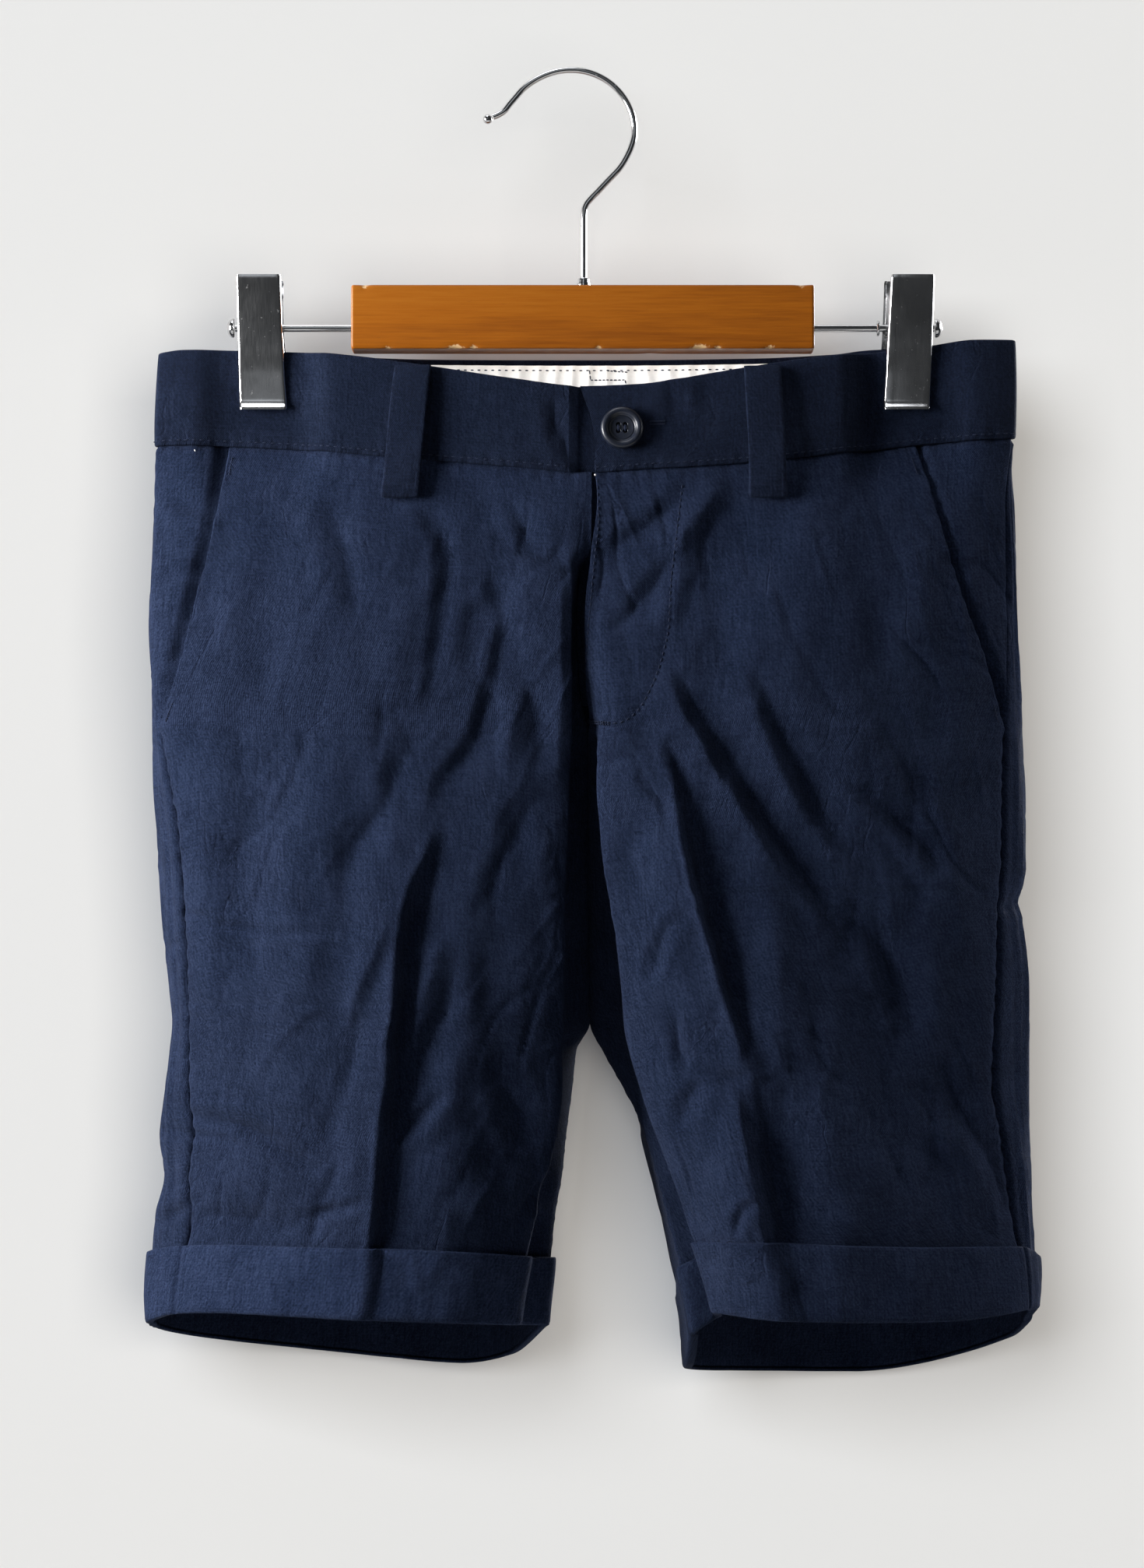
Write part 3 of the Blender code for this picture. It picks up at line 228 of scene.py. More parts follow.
# Folds: four places that each one's line runs through, from its top down or from left to right, its reach
# to the west and to the east of a line that runs down (below and above one that runs to the right), its
# height, which is below zero for a trough, and the power of its fall: 2 is round, 1 comes to an edge.
LINE = "x0 drop0 x1 drop1 x2 drop2 x3 drop3 west east height sharp"
FRONT_FOLDS = {
    "left": table(
        LINE,
        (-97.2, 160.5, -91.2, 177, -86.7, 193.5, -84.3, 213, 7, 9.4, -1.6, 1.8),
        (-58.5, 169.5, -49.6, 186.6, -51.3, 213, -56.5, 252, 3, 4.5, -1.5, 1.2),
        (-31.2, 195, -26.7, 216, -37.2, 256.5, -54, 282, 3.5, 7.8, -1.9, 1.3),
        (-64.8, 265.5, -72.9, 285, -84, 301.5, -90, 324, 6, 7, -1.7, 1.6),
        (-54, 292.8, -67.2, 333, -71.7, 390, -83, 505, 12, 2.4, 3.6, 1.1),
        (-48.6, 295.5, -61.4, 337.5, -67.2, 393, -79.5, 505, 3.2, 12, -3.3, 1.3),
        (-66.9, 318.6, -78.6, 345, -88.8, 376.5, -99.6, 417, 9, 4, 1.8, 1.4),
        (-51, 331.5, -55.8, 352.5, -60.9, 372, -64.2, 382.5, 4, 5, 2, 1.4),
        (-43.2, 340.5, -48.6, 360, -54.9, 376.5, -60.9, 391.5, 5, 7.8, -1.6, 1.5),
        (-49.2, 393.9, -55.8, 401.4, -62.7, 407.1, -69, 411.6, 2.5, 2.5, -1.4, 1.4),
        (-46.8, 396.6, -52.8, 405, -60.3, 412.5, -67.2, 417, 3, 5, 1.4, 1.6),
        (-34.2, 343.5, -31.8, 352.5, -33.6, 363, -37.8, 373.5, 5, 8, -1.2, 1.6),
        (-11.1, 274.5, -20.4, 292.5, -28.8, 310.5, -35.7, 328.5, 5, 8, -1.5, 1.5),
        (-31.2, 381.6, -25.2, 395.4, -19.8, 405.6, -15.6, 415.5, 6, 7, -1.6, 1.5),
        (-9, 426, -13.2, 432, -17.4, 438, -22.8, 448.5, 5, 5, -1.8, 1.6),
        (-25.8, 430.5, -31.8, 432, -37.2, 436.5, -40.8, 444, 6, 6, 1.4, 1.6),
        (-152, 405, -131, 407.5, -113, 416.1, -98, 427, 2.2, 4.5, -2.3, 1.2),
        (-159, 409.5, -147.3, 410.4, -138.3, 411.5, -122, 417, 2, 3, -1.7, 1.2),
        (-150, 325, -136, 331, -112, 334, -90, 334.5, 1.6, 3, -1.3, 1.2),
        (-150, 324.9, -145.8, 325.5, -142.2, 326.1, -138, 325.8, 1.6, 1.6, -0.9, 1.3),
        (-159.9, 339.6, -156.3, 338.7, -153.3, 338.1, -149.4, 337.5, 1.8, 1.8, -0.9, 1.3),
        (-78.6, 435.6, -89.4, 438.9, -99, 441.6, -100.2, 450, 2.2, 2.6, -1.8, 1.2),
        (-147, 438, -151.2, 439.8, -155.4, 442.8, -159.3, 447, 3, 3, -1.8, 1.4),
        (-142.2, 441, -130.8, 442.8, -118.8, 444.6, -105.3, 447.6, 5, 5, -1.2, 1.8),
        (-129.3, 268.5, -128.4, 300, -124.8, 333, -121.8, 363, 14, 12, -1.2, 2),
        (-142.2, 276, -140.4, 309, -138.3, 348, -136.8, 387, 10, 10, 1, 2),
        (-71.4, 244.5, -63.6, 257.4, -67.2, 270, -70.8, 280.5, 5, 7, -1.2, 1.7),
        (-32.4, 180, -22.8, 184.8, -12.3, 187.8, -1.8, 189, 3, 5.5, -1.6, 1.4),
        (-24.3, 165, -19.2, 177, -14.4, 185.4, -10.8, 187.8, 4, 6, -1.6, 1.6),
        (-24.3, 213, -19.2, 234, -13.8, 252, -8.4, 270, 8, 8, -1.5, 1.8),
        (-7.2, 123.9, -6.6, 135, -3.6, 144.6, 0.6, 154.8, 4, 6, -1.4, 1.6),
        (-4.2, 192, -5.1, 222, -5.1, 252, -5.1, 276, 6, 4, 1, 1.8),
        (-160.8, 165, -151.8, 168, -142.8, 169.5, -133.8, 168, 3, 4, -1.6, 1.5),
        (-141.3, 190.5, -145.8, 193.5, -153.3, 195.6, -160.2, 198, 3, 3, -0.9, 1.5),
        (-145.2, 207, -148.8, 210, -154.2, 211.5, -159.9, 213, 3, 3, -0.8, 1.5),
        (-148.8, 223.5, -151.8, 225.6, -155.4, 228, -159.3, 231, 3, 3, -0.7, 1.5),
        (-52.8, 153, -40.8, 162, -28.8, 168, -20.4, 167.4, 6, 6, -0.9, 1.8)),
    "right": table(
        LINE,
        (44.7, 163.8, 32.7, 173.4, 20.7, 181.2, 10.2, 187.2, 4, 8, -1.4, 1.6),
        (58.8, 158.4, 52.2, 167.4, 43.2, 178.2, 34.2, 192, 7, 5, 1.3, 1.5),
        (61.2, 165, 50.7, 183, 47.1, 201, 39.6, 222, 6, 13, -1.6, 1.7),
        (37.8, 183, 33.6, 196.5, 23.7, 208.5, 14.7, 216, 4, 6, -1.4, 1.5),
        (34.2, 233.4, 49.2, 259.5, 71.7, 297, 95.7, 330.6, 10, 3.5, 2, 1.3),
        (39.6, 233.4, 56.7, 260.4, 78.6, 295.5, 103.2, 328.5, 4.5, 7.8, -2, 1.5),
        (103.2, 323.4, 115.8, 334.5, 124.2, 351.6, 132.6, 375, 5, 7.8, -1.6, 1.5),
        (69.6, 228, 77.7, 250.5, 91.2, 277.5, 109.2, 306, 4, 7, -1.4, 1.4),
        (65.7, 231, 72.6, 253.5, 85.8, 282, 102.6, 307.5, 8, 4, 1.4, 1.5),
        (110.1, 276.9, 121.2, 287.4, 132.6, 297, 142.2, 310.8, 3.5, 8, -1.8, 1.3),
        (120.3, 300.3, 127.2, 309, 132, 316.5, 134.7, 324, 4, 6, -0.9, 1.6),
        (36.6, 258, 38.1, 265.5, 39.6, 271.5, 42.6, 276.6, 2.5, 6, -1.8, 1.3),
        (9, 267.6, 15.6, 266.4, 20.7, 265.5, 26.7, 266.1, 2.5, 2.5, -1, 1.4),
        (24.6, 272.4, 29.4, 277.2, 34.2, 282.6, 39, 287.7, 2.5, 3, -1.2, 1.3),
        (36.6, 262.5, 43.8, 309.6, 53.1, 340.2, 66.3, 387.6, 14, 2.4, 3.5, 1.1),
        (61.2, 391.8, 66.6, 414, 72.6, 445.5, 86, 505, 14, 2.6, 3.5, 1.1),
        (42.7, 268.5, 50.4, 310.5, 60.6, 348, 76, 393, 3.4, 13, -3.5, 1.3),
        (70, 388.5, 76, 420, 81, 447, 94, 505, 3.4, 13, -3.1, 1.3),
        (35.1, 314.4, 39.6, 316.2, 43.5, 318, 47.1, 320.4, 2, 2, -1, 1.3),
        (44.1, 324.6, 35.1, 333.6, 30.6, 343.8, 27.6, 353.7, 3, 4, -1.6, 1.3),
        (37.8, 363, 39, 372, 41.4, 380.4, 45.3, 383.7, 3, 3, -1.6, 1.3),
        (45.3, 383.7, 53.4, 387.9, 61.2, 390.3, 67.8, 390.6, 2, 3.9, -1.4, 1.2),
        (50.1, 390.3, 44.7, 395.4, 41.4, 400.5, 39.6, 409.5, 3, 5, -1.4, 1.4),
        (72, 436.5, 66, 439.8, 63, 444, 61.8, 448.8, 2.5, 3, -1.8, 1.2),
        (140.7, 381.6, 150.6, 402, 160.2, 420.6, 169.2, 444.6, 4, 6, -1.8, 1.4),
        (128.4, 397.5, 136.2, 405, 143.7, 412.5, 151.2, 417, 6, 6, 1.2, 1.8),
        (83.4, 340.2, 83.4, 346.5, 83.4, 353.4, 83.4, 360.3, 2, 2, -0.5, 1.4),
        (90.3, 370.2, 93, 372.6, 95.7, 375, 98.4, 377.1, 2, 2, -0.6, 1.4),
        (115.2, 349.5, 117.6, 372, 120, 393, 121.8, 418.5, 14, 14, -1.8, 2),
        (175.8, 317.4, 172.2, 320.4, 169.2, 322.8, 165, 324.6, 3, 3, -1.8, 1.4),
        (37.8, 120, 39, 125.4, 39.6, 130.5, 39, 137.4, 4, 4, -0.6, 1.6),
        (50.7, 118.8, 51.6, 123.9, 52.2, 129, 52.8, 134.4, 4, 4, -0.5, 1.6),
        (151.2, 165, 152.4, 189, 154.2, 213, 157.8, 234, 7, 7, 0.7, 1.8)),
}
BACK_FOLDS = {
    "left": table(
        LINE,
        (-14, 344, -45, 333, -75, 318, -106, 298, 5, 9, -3.2, 1.5),
        (-12, 322, -36, 303, -58, 280, -82, 250, 4, 8, -2.6, 1.4),
        (-30, 200, -34, 230, -39, 260, -48, 290, 7, 5, 2, 1.6),
        (-130, 250, -121, 295, -115, 340, -112, 380, 8, 6, -2.6, 1.6),
        (-82, 330, -82, 385, -84, 440, -88, 500, 10, 5, 3, 1.2),
        (-70, 360, -70, 410, -72, 450, -76, 500, 6, 12, -2.2, 1.6),
        (-20, 372, -40, 392, -62, 402, -90, 405, 4, 6, -2, 1.4),
        (-140, 300, -134, 330, -128, 352, -118, 372, 6, 5, 1.4, 1.6),
        (-150, 420, -132, 430, -112, 434, -92, 430, 3, 3, -1.4, 1.3),
        (-60, 170, -64, 200, -66, 225, -64, 255, 5, 8, -1.4, 1.7),
        (-110, 165, -106, 190, -104, 214, -108, 240, 6, 6, -1.2, 1.7),
        (-30, 420, -44, 436, -54, 452, -60, 470, 4, 5, -1.2, 1.5)),
    "right": table(
        LINE,
        (26, 340, 58, 330, 92, 318, 126, 304, 5, 9, -3.2, 1.5),
        (24, 318, 42, 296, 60, 268, 76, 236, 4, 8, -2.6, 1.4),
        (44, 204, 49, 232, 57, 264, 70, 300, 5, 7, 2, 1.6),
        (146, 262, 138, 306, 132, 350, 130, 396, 7, 8, -2.6, 1.6),
        (98, 340, 101, 390, 105, 440, 111, 506, 5, 10, 3, 1.2),
        (112, 366, 114, 410, 118, 456, 124, 502, 6, 12, -2.2, 1.6),
        (40, 384, 58, 398, 80, 404, 104, 402, 4, 6, -2, 1.4),
        (152, 300, 148, 330, 140, 356, 134, 376, 5, 6, 1.4, 1.6),
        (112, 434, 132, 438, 150, 434, 168, 424, 3, 3, -1.4, 1.3),
        (66, 168, 72, 196, 76, 222, 76, 250, 8, 5, -1.4, 1.7),
        (122, 166, 120, 190, 117, 216, 122, 244, 6, 6, -1.2, 1.7),
        (56, 430, 66, 446, 72, 460, 80, 478, 4, 5, -1.2, 1.5)),
}

CLIPS = table(  # X and drop of each clip's corners, and the Y of its outer face
    "left_x0 left_x1 right_x0 right_x1 drop face",
    (-129.8, -112.5, 122.6, 139.4, 80.0, 8.4),
    (-129.4, -112.0, 121.6, 138.9, ROD_DROP, 6.4),
    (-129.1, -111.4, 121.1, 138.6, 108.0, 5.9),
    (-128.9, -111.0, 120.6, 138.3, 118.0, 5.4),
    (-128.5, -110.2, 119.9, 137.8, 128.0, 5.3),
    (-128.4, -109.9, 119.7, 137.7, 132.0, 6.0))
CLIP_MIDDLES = (-120.0, 129.6)
CLIP_GRIP = 22.0  # how far to either side of a clip the band is drawn together
GRIPPED = 2.9  # Y of the cloth's line between the jaws


# ---------------------------------------------------------------- curves through named values


def smooth(knots, values, at):
    """A cubic through values at rising knots that never swings past them.

    Its slope at a knot is the weighted harmonic mean of the slopes on both sides, or level where they
    differ in sign. values may hold one curve, or one for each place in at.
    """
    at = np.asarray(at, float)
    values = np.asarray(values, float)
    if values.ndim == 1:
        values = values.reshape((-1,) + (1,) * at.ndim) + np.zeros(at.shape)
    step = np.diff(knots).reshape((-1,) + (1,) * at.ndim)
    slope = np.diff(values, axis=0) / step
    before, after = slope[:-1], slope[1:]
    near, far = 2 * step[1:] + step[:-1], step[1:] + 2 * step[:-1]
    with np.errstate(divide="ignore", invalid="ignore"):
        mean = (near + far) / (near / before + far / after)
    tangent = np.concatenate([slope[:1], np.where(before * after > 0, mean, 0.0), slope[-1:]])
    place = np.clip(at, knots[0], knots[-1])
    index = np.clip(np.searchsorted(knots, place, side="right") - 1, 0, len(knots) - 2)
    length = np.diff(knots)[index]
    t = (place - knots[index]) / length

    def pick(array, which):
        return np.take_along_axis(array, which[None], 0)[0]

    low, high = pick(values, index), pick(values, index + 1)
    leave, arrive = pick(tangent, index) * length, pick(tangent, index + 1) * length
    return (low * (1 + 2 * t) * (1 - t) ** 2 + leave * t * (1 - t) ** 2
            + high * t * t * (3 - 2 * t) + arrive * t * t * (t - 1))


def ease(low, high, value):
    """0 below low, 1 above high, and level at both ends."""
    t = np.clip((value - low) / (high - low), 0, 1)
    return t * t * (3 - 2 * t)


def unit(vectors):
    """The vectors, each divided by its own length."""
    return vectors / np.maximum(np.linalg.norm(vectors, axis=-1, keepdims=True), 1e-9)


# ---------------------------------------------------------------- the cloth's form


def turn(side):
    """1 where a ring runs clockwise seen from above, as the left one does, and -1 on the right."""
    return 1 if side == "left" else -1


def plan(side, ring, drop):
    """X and Y on a leg's ring, before its folds: curves down each line, then one round the lines."""
    knots = np.array(list(STATIONS.values()))
    found = []
    for sizes in (WIDTHS[side], DEPTHS[side]):
        lines = [smooth(sizes["drop"], sizes[name], drop) for name in STATIONS]
        lines[-1] = np.where(np.asarray(drop) > CROTCH, lines[0], lines[-1])
        found.append(smooth(knots, np.stack(lines), ring))
    x, y = found
    grip = sum(np.exp(-((x - middle) / CLIP_GRIP) ** 6) for middle in CLIP_MIDDLES)
    grip = grip * (1 - ease(134, 176, drop))
    return x, y * (1 - grip) + np.sign(y) * GRIPPED * grip


def fold_height(folds, x, drop):
    """Sum of the folds at each place.

    A fold's height falls off with the distance to its line, as exp(-(distance / reach) ^ power), with a
    reach for each side of the line, less a low swell about two reaches away, and fades with the root of
    a sine towards both ends. The lines wander by a millimetre.
    """
    x, drop = x + drift(x * 2.4, drop * 2.4, 21) * 1.1, drop + drift(drop * 2.2, x * 2.2, 22) * 1.1
    total = np.zeros(np.shape(x))
    steps = 26
    t = np.linspace(0, 1, steps + 1)
    thirds = np.linspace(0, 1, 4)
    for i in range(len(folds["west"])):
        fold = {name: column[i] for name, column in folds.items()}
        line = np.stack([smooth(thirds, np.array([fold["x%d" % k] for k in range(4)]), t),
                         smooth(thirds, np.array([fold["drop%d" % k] for k in range(4)]), t)], -1)
        margin = 3.2 * max(fold["west"], fold["east"])
        low, high = line.min(0) - margin, line.max(0) + margin
        near = (x > low[0]) & (x < high[0]) & (drop > low[1]) & (drop < high[1])
        if not near.any():
            continue
        place = np.stack([x[near], drop[near]], -1)
        start, run = line[:-1, None], np.diff(line, axis=0)[:, None]
        share = np.clip(((place - start) * run).sum(-1) / np.maximum((run ** 2).sum(-1), 1e-9), 0, 1)
        away = place - start - share[..., None] * run
        distance = np.hypot(away[..., 0], away[..., 1])
        best = distance.argmin(0)
        column = np.arange(len(place))
        side = run[best, 0, 0] * away[best, column, 1] - run[best, 0, 1] * away[best, column, 0]
        away = distance[best, column] / (np.where(side > 0, fold["west"], fold["east"]) * 0.74)
        fade = np.sin(math.pi * np.clip((best + share[best, column]) / steps, 0, 1)) ** 0.6
        crest = np.exp(-away ** (1 + (fold["sharp"] - 1) * 0.45)) - 0.26 * np.exp(-((away - 2.1) / 0.8) ** 2)
        total[near] += fold["height"] * fade * crest
    return total


def swells(side, x, drop):
    """Broad undulations that run down the legs: sines across them, 34 to 95 mm long, that lean and wander."""
    luck = np.random.default_rng(31 if side == "left" else 37)
    total = np.zeros(np.shape(x))
    for length in np.geomspace(34, 95, 6):
        angle, phase = LEAN[side] * 0.5 + luck.uniform(-0.35, 0.35), luck.uniform(0, 2 * math.pi)
        bend = 0.9 * np.sin(drop / luck.uniform(28, 60) + phase * 2)
        total += length * np.sin(
            2 * math.pi * (x * math.cos(angle) + drop * math.sin(angle)) / length + phase + bend)
    return total * 0.0062


def drift(x, drop, seed):
    """The cloth's slight unevenness: a sum of sines with lengths of 13 to 48 mm in all directions."""
    luck = np.random.default_rng(seed)
    total = np.zeros(np.shape(x))
    for length in np.geomspace(13, 48, 9):
        angle, phase = luck.uniform(-0.5, 0.9), luck.uniform(0, 2 * math.pi)
        total += length ** 0.8 * np.sin(2 * math.pi * (x * math.cos(angle) + drop * math.sin(angle) * 0.6)
                                        / length + phase)
    return total * 0.011


def crumple(x, drop, lean, seed):
    """Small creases: troughs and ridges along the lines where a slow sum of sines crosses zero.

    Each set is exp(-|n / 0.2|^1.4) of such a sum n. Its waves run near one direction, lean, so that the
    creases run across it, and it fades in and out with a slower sum of its own.
    """
    luck = np.random.default_rng(seed)

    def waves(low, high, count, spread):
        total = np.zeros(np.shape(x))
        for length in np.geomspace(low, high, count):
            angle, phase = lean + luck.uniform(-spread, spread), luck.uniform(0, 2 * math.pi)
            total += np.sin(2 * math.pi * (x * math.cos(angle) + drop * math.sin(angle)) / length + phase)
        return total / math.sqrt(count / 2)

    total = np.zeros(np.shape(x))
    for depth, low, high, spread in ((-0.8, 26, 74, 0.5), (0.6, 20, 60, 0.6), (-0.35, 12, 40, 0.9),
                                     (-0.35, 14, 44, 1.3)):
        crest = np.exp(-np.abs(waves(low, high, 6, spread) / 0.2) ** 1.4)
        total += depth * crest * ease(-0.2, 1.3, waves(40, 120, 4, 1.5))
    return total


def form(side, ring, drop):
    """Points of the cloth's outer face: the ring in plan, pushed out or in by the folds.

    Between the middle seam and the edge beside it, a hollow pushes it in by half a sine squared.
    """
    step = 0.004
    ring, drop = np.broadcast_arrays(np.asarray(ring, float), np.asarray(drop, float))
    x, y = plan(side, ring, drop)
    ahead = plan(side, np.clip(ring + step, 0, 1), drop)
    behind = plan(side, np.clip(ring - step, 0, 1), drop)
    way = unit(np.stack([ahead[0] - behind[0], ahead[1] - behind[1]], -1)) * turn(side)
    depth = 1 + y / EYE
    at_front = 1 - ease(0.47, 0.53, ring)
    front = fold_height(FRONT_FOLDS[side], x / depth, LEVEL + (drop - LEVEL) / depth) * at_front
    back = fold_height(BACK_FOLDS[side], x, drop) * (1 - at_front)
    luck_x = x + 900 * (1 - at_front)
    loose = drift(luck_x, drop, 3) + crumple(luck_x, drop, LEAN[side], 5) + swells(side, luck_x, drop)
    loose = loose * ease(146, 190, drop) * (1 - 0.5 * np.exp(-((ring - 0.48) / 0.04) ** 2))
    hollow = 6.0 * np.sin(math.pi * np.clip(ring / 0.1, 0, 1)) ** 2 * ease(*HOLLOWS[side], drop)
    quiet = ease(0.0, 0.04, ring) * (1 - ease(0.95, 1.0, ring)) * (1 - 0.45 * ease(440, 456, drop))
    out = ((front + back) * BOLD + loose) * quiet - hollow
    return np.stack([x - way[..., 1] * out, y + way[..., 0] * out, -drop], -1)


def outward(side, ring, drop):
    """Unit normals of the cloth's outer face, the same for both pieces at a seam."""
    ring, drop = np.broadcast_arrays(np.asarray(ring, float), np.asarray(drop, float))
    step, reach = 0.006, 2.0
    round_it = form(side, np.clip(ring + step, 0, 1), drop) - form(side, np.clip(ring - step, 0, 1), drop)
    down = form(side, ring, drop + reach) - form(side, ring, drop - reach)
    return unit(np.cross(round_it, down)) * turn(side)


def facing(side, points, inseam=None):
    """Unit normals of a grid of the form, from its neighbours; level and sideways on the inseam."""
    normals = unit(np.cross(np.gradient(points, axis=1), np.gradient(points, axis=0))) * turn(side)
    if inseam is not None:
        below = (points[:, inseam, 2] < -CROTCH + 0.5)[:, None]
        ahead = 1 if inseam == 0 else -1
        for step, share in ((0, 1.0), (1, 0.6), (2, 0.25)):
            column = inseam + ahead * step
            level = unit(normals[:, column] * (1 - share) + np.array([turn(side), 0.0, 0.0]) * share)
            normals[:, column] = np.where(below, level, normals[:, column])
    return normals


def ring_at(side, x, drop, low=0.0, high=SEAM):
    """The place on the ring, between two of its lines, where the cloth reaches each x at each drop."""
    x, drop = np.broadcast_arrays(np.asarray(x, float), np.asarray(drop, float))
    tries = np.linspace(low, high, 161).reshape((-1,) + (1,) * x.ndim)
    reached = plan(side, tries + np.zeros(x.shape), drop + np.zeros(tries.shape))[0]
    way = np.sign(reached[-1] - reached[0])
    over = reached * way >= x * way
    index = np.where(over.any(0), np.clip(over.argmax(0), 1, 160), 160)
    before = np.take_along_axis(reached, index[None] - 1, 0)[0]
    after = np.take_along_axis(reached, index[None], 0)[0]
    part = np.clip((x - before) / np.where(after == before, 1.0, after - before), 0, 1)
    return low + (high - low) * (index - 1 + part) / 160


def waist_drop(side, ring, edge):
    """Drop of the waistband's top edge or seam at places on the ring."""
    ring = np.asarray(ring, float)
    x = plan(side, ring, np.full(ring.shape, 146.0))[0]
    front = smooth(WAIST["front"]["x"], WAIST["front"][edge], x)
    back = smooth(WAIST["back"]["x"], WAIST["back"][edge], x)
    behind = ease(SEAM, 0.54, ring)
    return front * (1 - behind) + back * behind


def hem_drop(side, ring, edge):
    """The drop of one edge of the hem's table, by a smooth curve through its rows."""
    return smooth(HEM[side]["ring"], HEM[side][edge], ring)


def seen(side, x, drop):
    """Ring and drop of places on the front that are given as seen from in front."""
    x, drop = np.asarray(x, float), np.asarray(drop, float)
    real_x, real_drop = x, drop
    for _ in range(3):
        ring = ring_at(side, real_x, real_drop)
        depth = 1 + plan(side, ring, real_drop)[1] / EYE
        real_x, real_drop = x * depth, LEVEL + (drop - LEVEL) * depth
    return ring_at(side, real_x, real_drop), real_drop


# ---------------------------------------------------------------- meshes


def skin_quads(rows, columns, first=0, round_it=False):
    """Quads of a grid whose points start at index first; round_it joins its last column to its first."""
    row, column = np.meshgrid(np.arange(rows - 1), np.arange(columns - (not round_it)), indexing="ij")
    after = (column + 1) % columns
    corners = [row * columns + column, (row + 1) * columns + column,
               (row + 1) * columns + after, row * columns + after]
    return first + np.stack(corners, -1).reshape(-1, 4)


def between(loop, other):
    """Quads between two loops of indices that run side by side."""
    return np.stack([loop, np.roll(loop, -1), np.roll(other, -1), other], -1)


def piece(name, points, faces, finish, slot, replaced=(), uv=None, sharp=None, shade=True):
    """One object from points in millimetres and faces, turned outwards, riding with the whole.

    Its volume is the sum of the tetrahedra from the origin to each face, and where that is below zero
    all faces are reversed. Every point has one place in the cloth's own flat coordinates, in metres.
    """
    points = np.asarray(points, float).reshape(-1, 3)
    faces = [np.asarray(f).reshape(len(f), -1) for f in faces if len(f)]
    volume = 0.0
    for group in faces:
        a = points[group[:, 0]]
        for k in range(1, group.shape[1] - 1):
            volume += np.einsum("ij,ij->", a, np.cross(points[group[:, k]], points[group[:, k + 1]]))
    faces = [face for group in faces for face in (group[:, ::-1] if volume < 0 else group).tolist()]
    mesh = bpy.data.meshes.new(name)
    mesh.from_pydata((points * MM).tolist(), [], faces)
    made = bpy.data.objects.new(name, mesh)
    bpy.context.scene.collection.objects.link(made)
    if uv is not None:
        corner = np.zeros(len(mesh.loops), np.int32)
        mesh.loops.foreach_get("vertex_index", corner)
        layer = mesh.uv_layers.new(name="cloth")
        layer.data.foreach_set("uv", (np.asarray(uv, float) * MM)[corner].ravel())
    if shade:
        mesh.shade_smooth()
    if sharp:
        mesh.set_sharp_from_angle(angle=math.radians(sharp))
    mesh.materials.append(finish)
    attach(made, "root")
    if replaced:
        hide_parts(*replaced)
    return made


def lengths(points, way=1):
    """Flat coordinates of a grid: the length along each row from its middle, and down each column.

    way is -1 where the columns run to the left as seen from outside the cloth.
    """
    across = np.linalg.norm(np.diff(points, axis=1), axis=-1).cumsum(1)
    across = np.concatenate([np.zeros((len(points), 1)), across], 1)
    down = np.linalg.norm(np.diff(points, axis=0), axis=-1).cumsum(0)
    down = np.concatenate([np.zeros((1, points.shape[1])), down])
    return np.stack([(across - across[:, points.shape[1] // 2, None]) * way, down], -1)


def drawn_in(points, top=0.0, bottom=0.0, first=0.0, last=0.0):
    """The grid with its edges pulled back towards their neighbours by these distances, one each or in all."""
    points = points.copy()
    for edge, inside, amount in (((0,), (1,), top), ((-1,), (-2,), bottom),
                                 ((slice(None), 0), (slice(None), 1), first),
                                 ((slice(None), -1), (slice(None), -2), last)):
        points[edge] += unit(points[inside] - points[edge]) * np.asarray(amount, float)[..., None]
    return points


ROUNDED = 0.75  # how far a rim stands out, as a share of half the wall


def shell(name, outer, inner, finish, slot, replaced=(), flat=None, turned_grain=False):
    """A wall of cloth between two grids of one size, with a rounded rim.

    The rim is three loops at 45, 90 and 135 degrees round a half circle from one skin to the other,
    its centre on the wall's middle and its depth ROUNDED times half the wall.
    """
    rows, columns = outer.shape[:2]
    count = rows * columns
    index = np.arange(count).reshape(rows, columns)
    loop = np.concatenate([index[0, :-1], index[:-1, -1], index[-1, :0:-1], index[:0:-1, 0]])
    row, column = loop // columns, loop % columns
    inside = np.clip(row, 1, rows - 2) * columns + np.clip(column, 1, columns - 2)
    skins = [outer.reshape(-1, 3), inner.reshape(-1, 3)]
    middle = (skins[0] + skins[1]) / 2
    half = (skins[0] - skins[1])[loop] / 2
    out = unit(middle[loop] - middle[inside]) * np.linalg.norm(half, axis=-1, keepdims=True) * ROUNDED
    grain = lengths(outer).reshape(-1, 2) if flat is None else flat.reshape(-1, 2)
    if turned_grain:
        grain = grain[:, ::-1]
    points, uv = [*skins], [grain, grain]
    faces = [skin_quads(rows, columns), skin_quads(rows, columns, count)[:, ::-1]]
    last, first = loop, 2 * count
    for angle in (45, 90, 135):
        points.append(middle[loop] + half * math.cos(math.radians(angle))
                      + out * math.sin(math.radians(angle)))
        uv.append(grain[loop] + (angle / 300, 0))
        this = first + np.arange(len(loop))
        faces.append(between(last, this))
        last, first = this, first + len(loop)
    faces.append(between(last, loop + count))
    return piece(name, np.concatenate(points), faces, finish, slot, replaced, np.concatenate(uv))


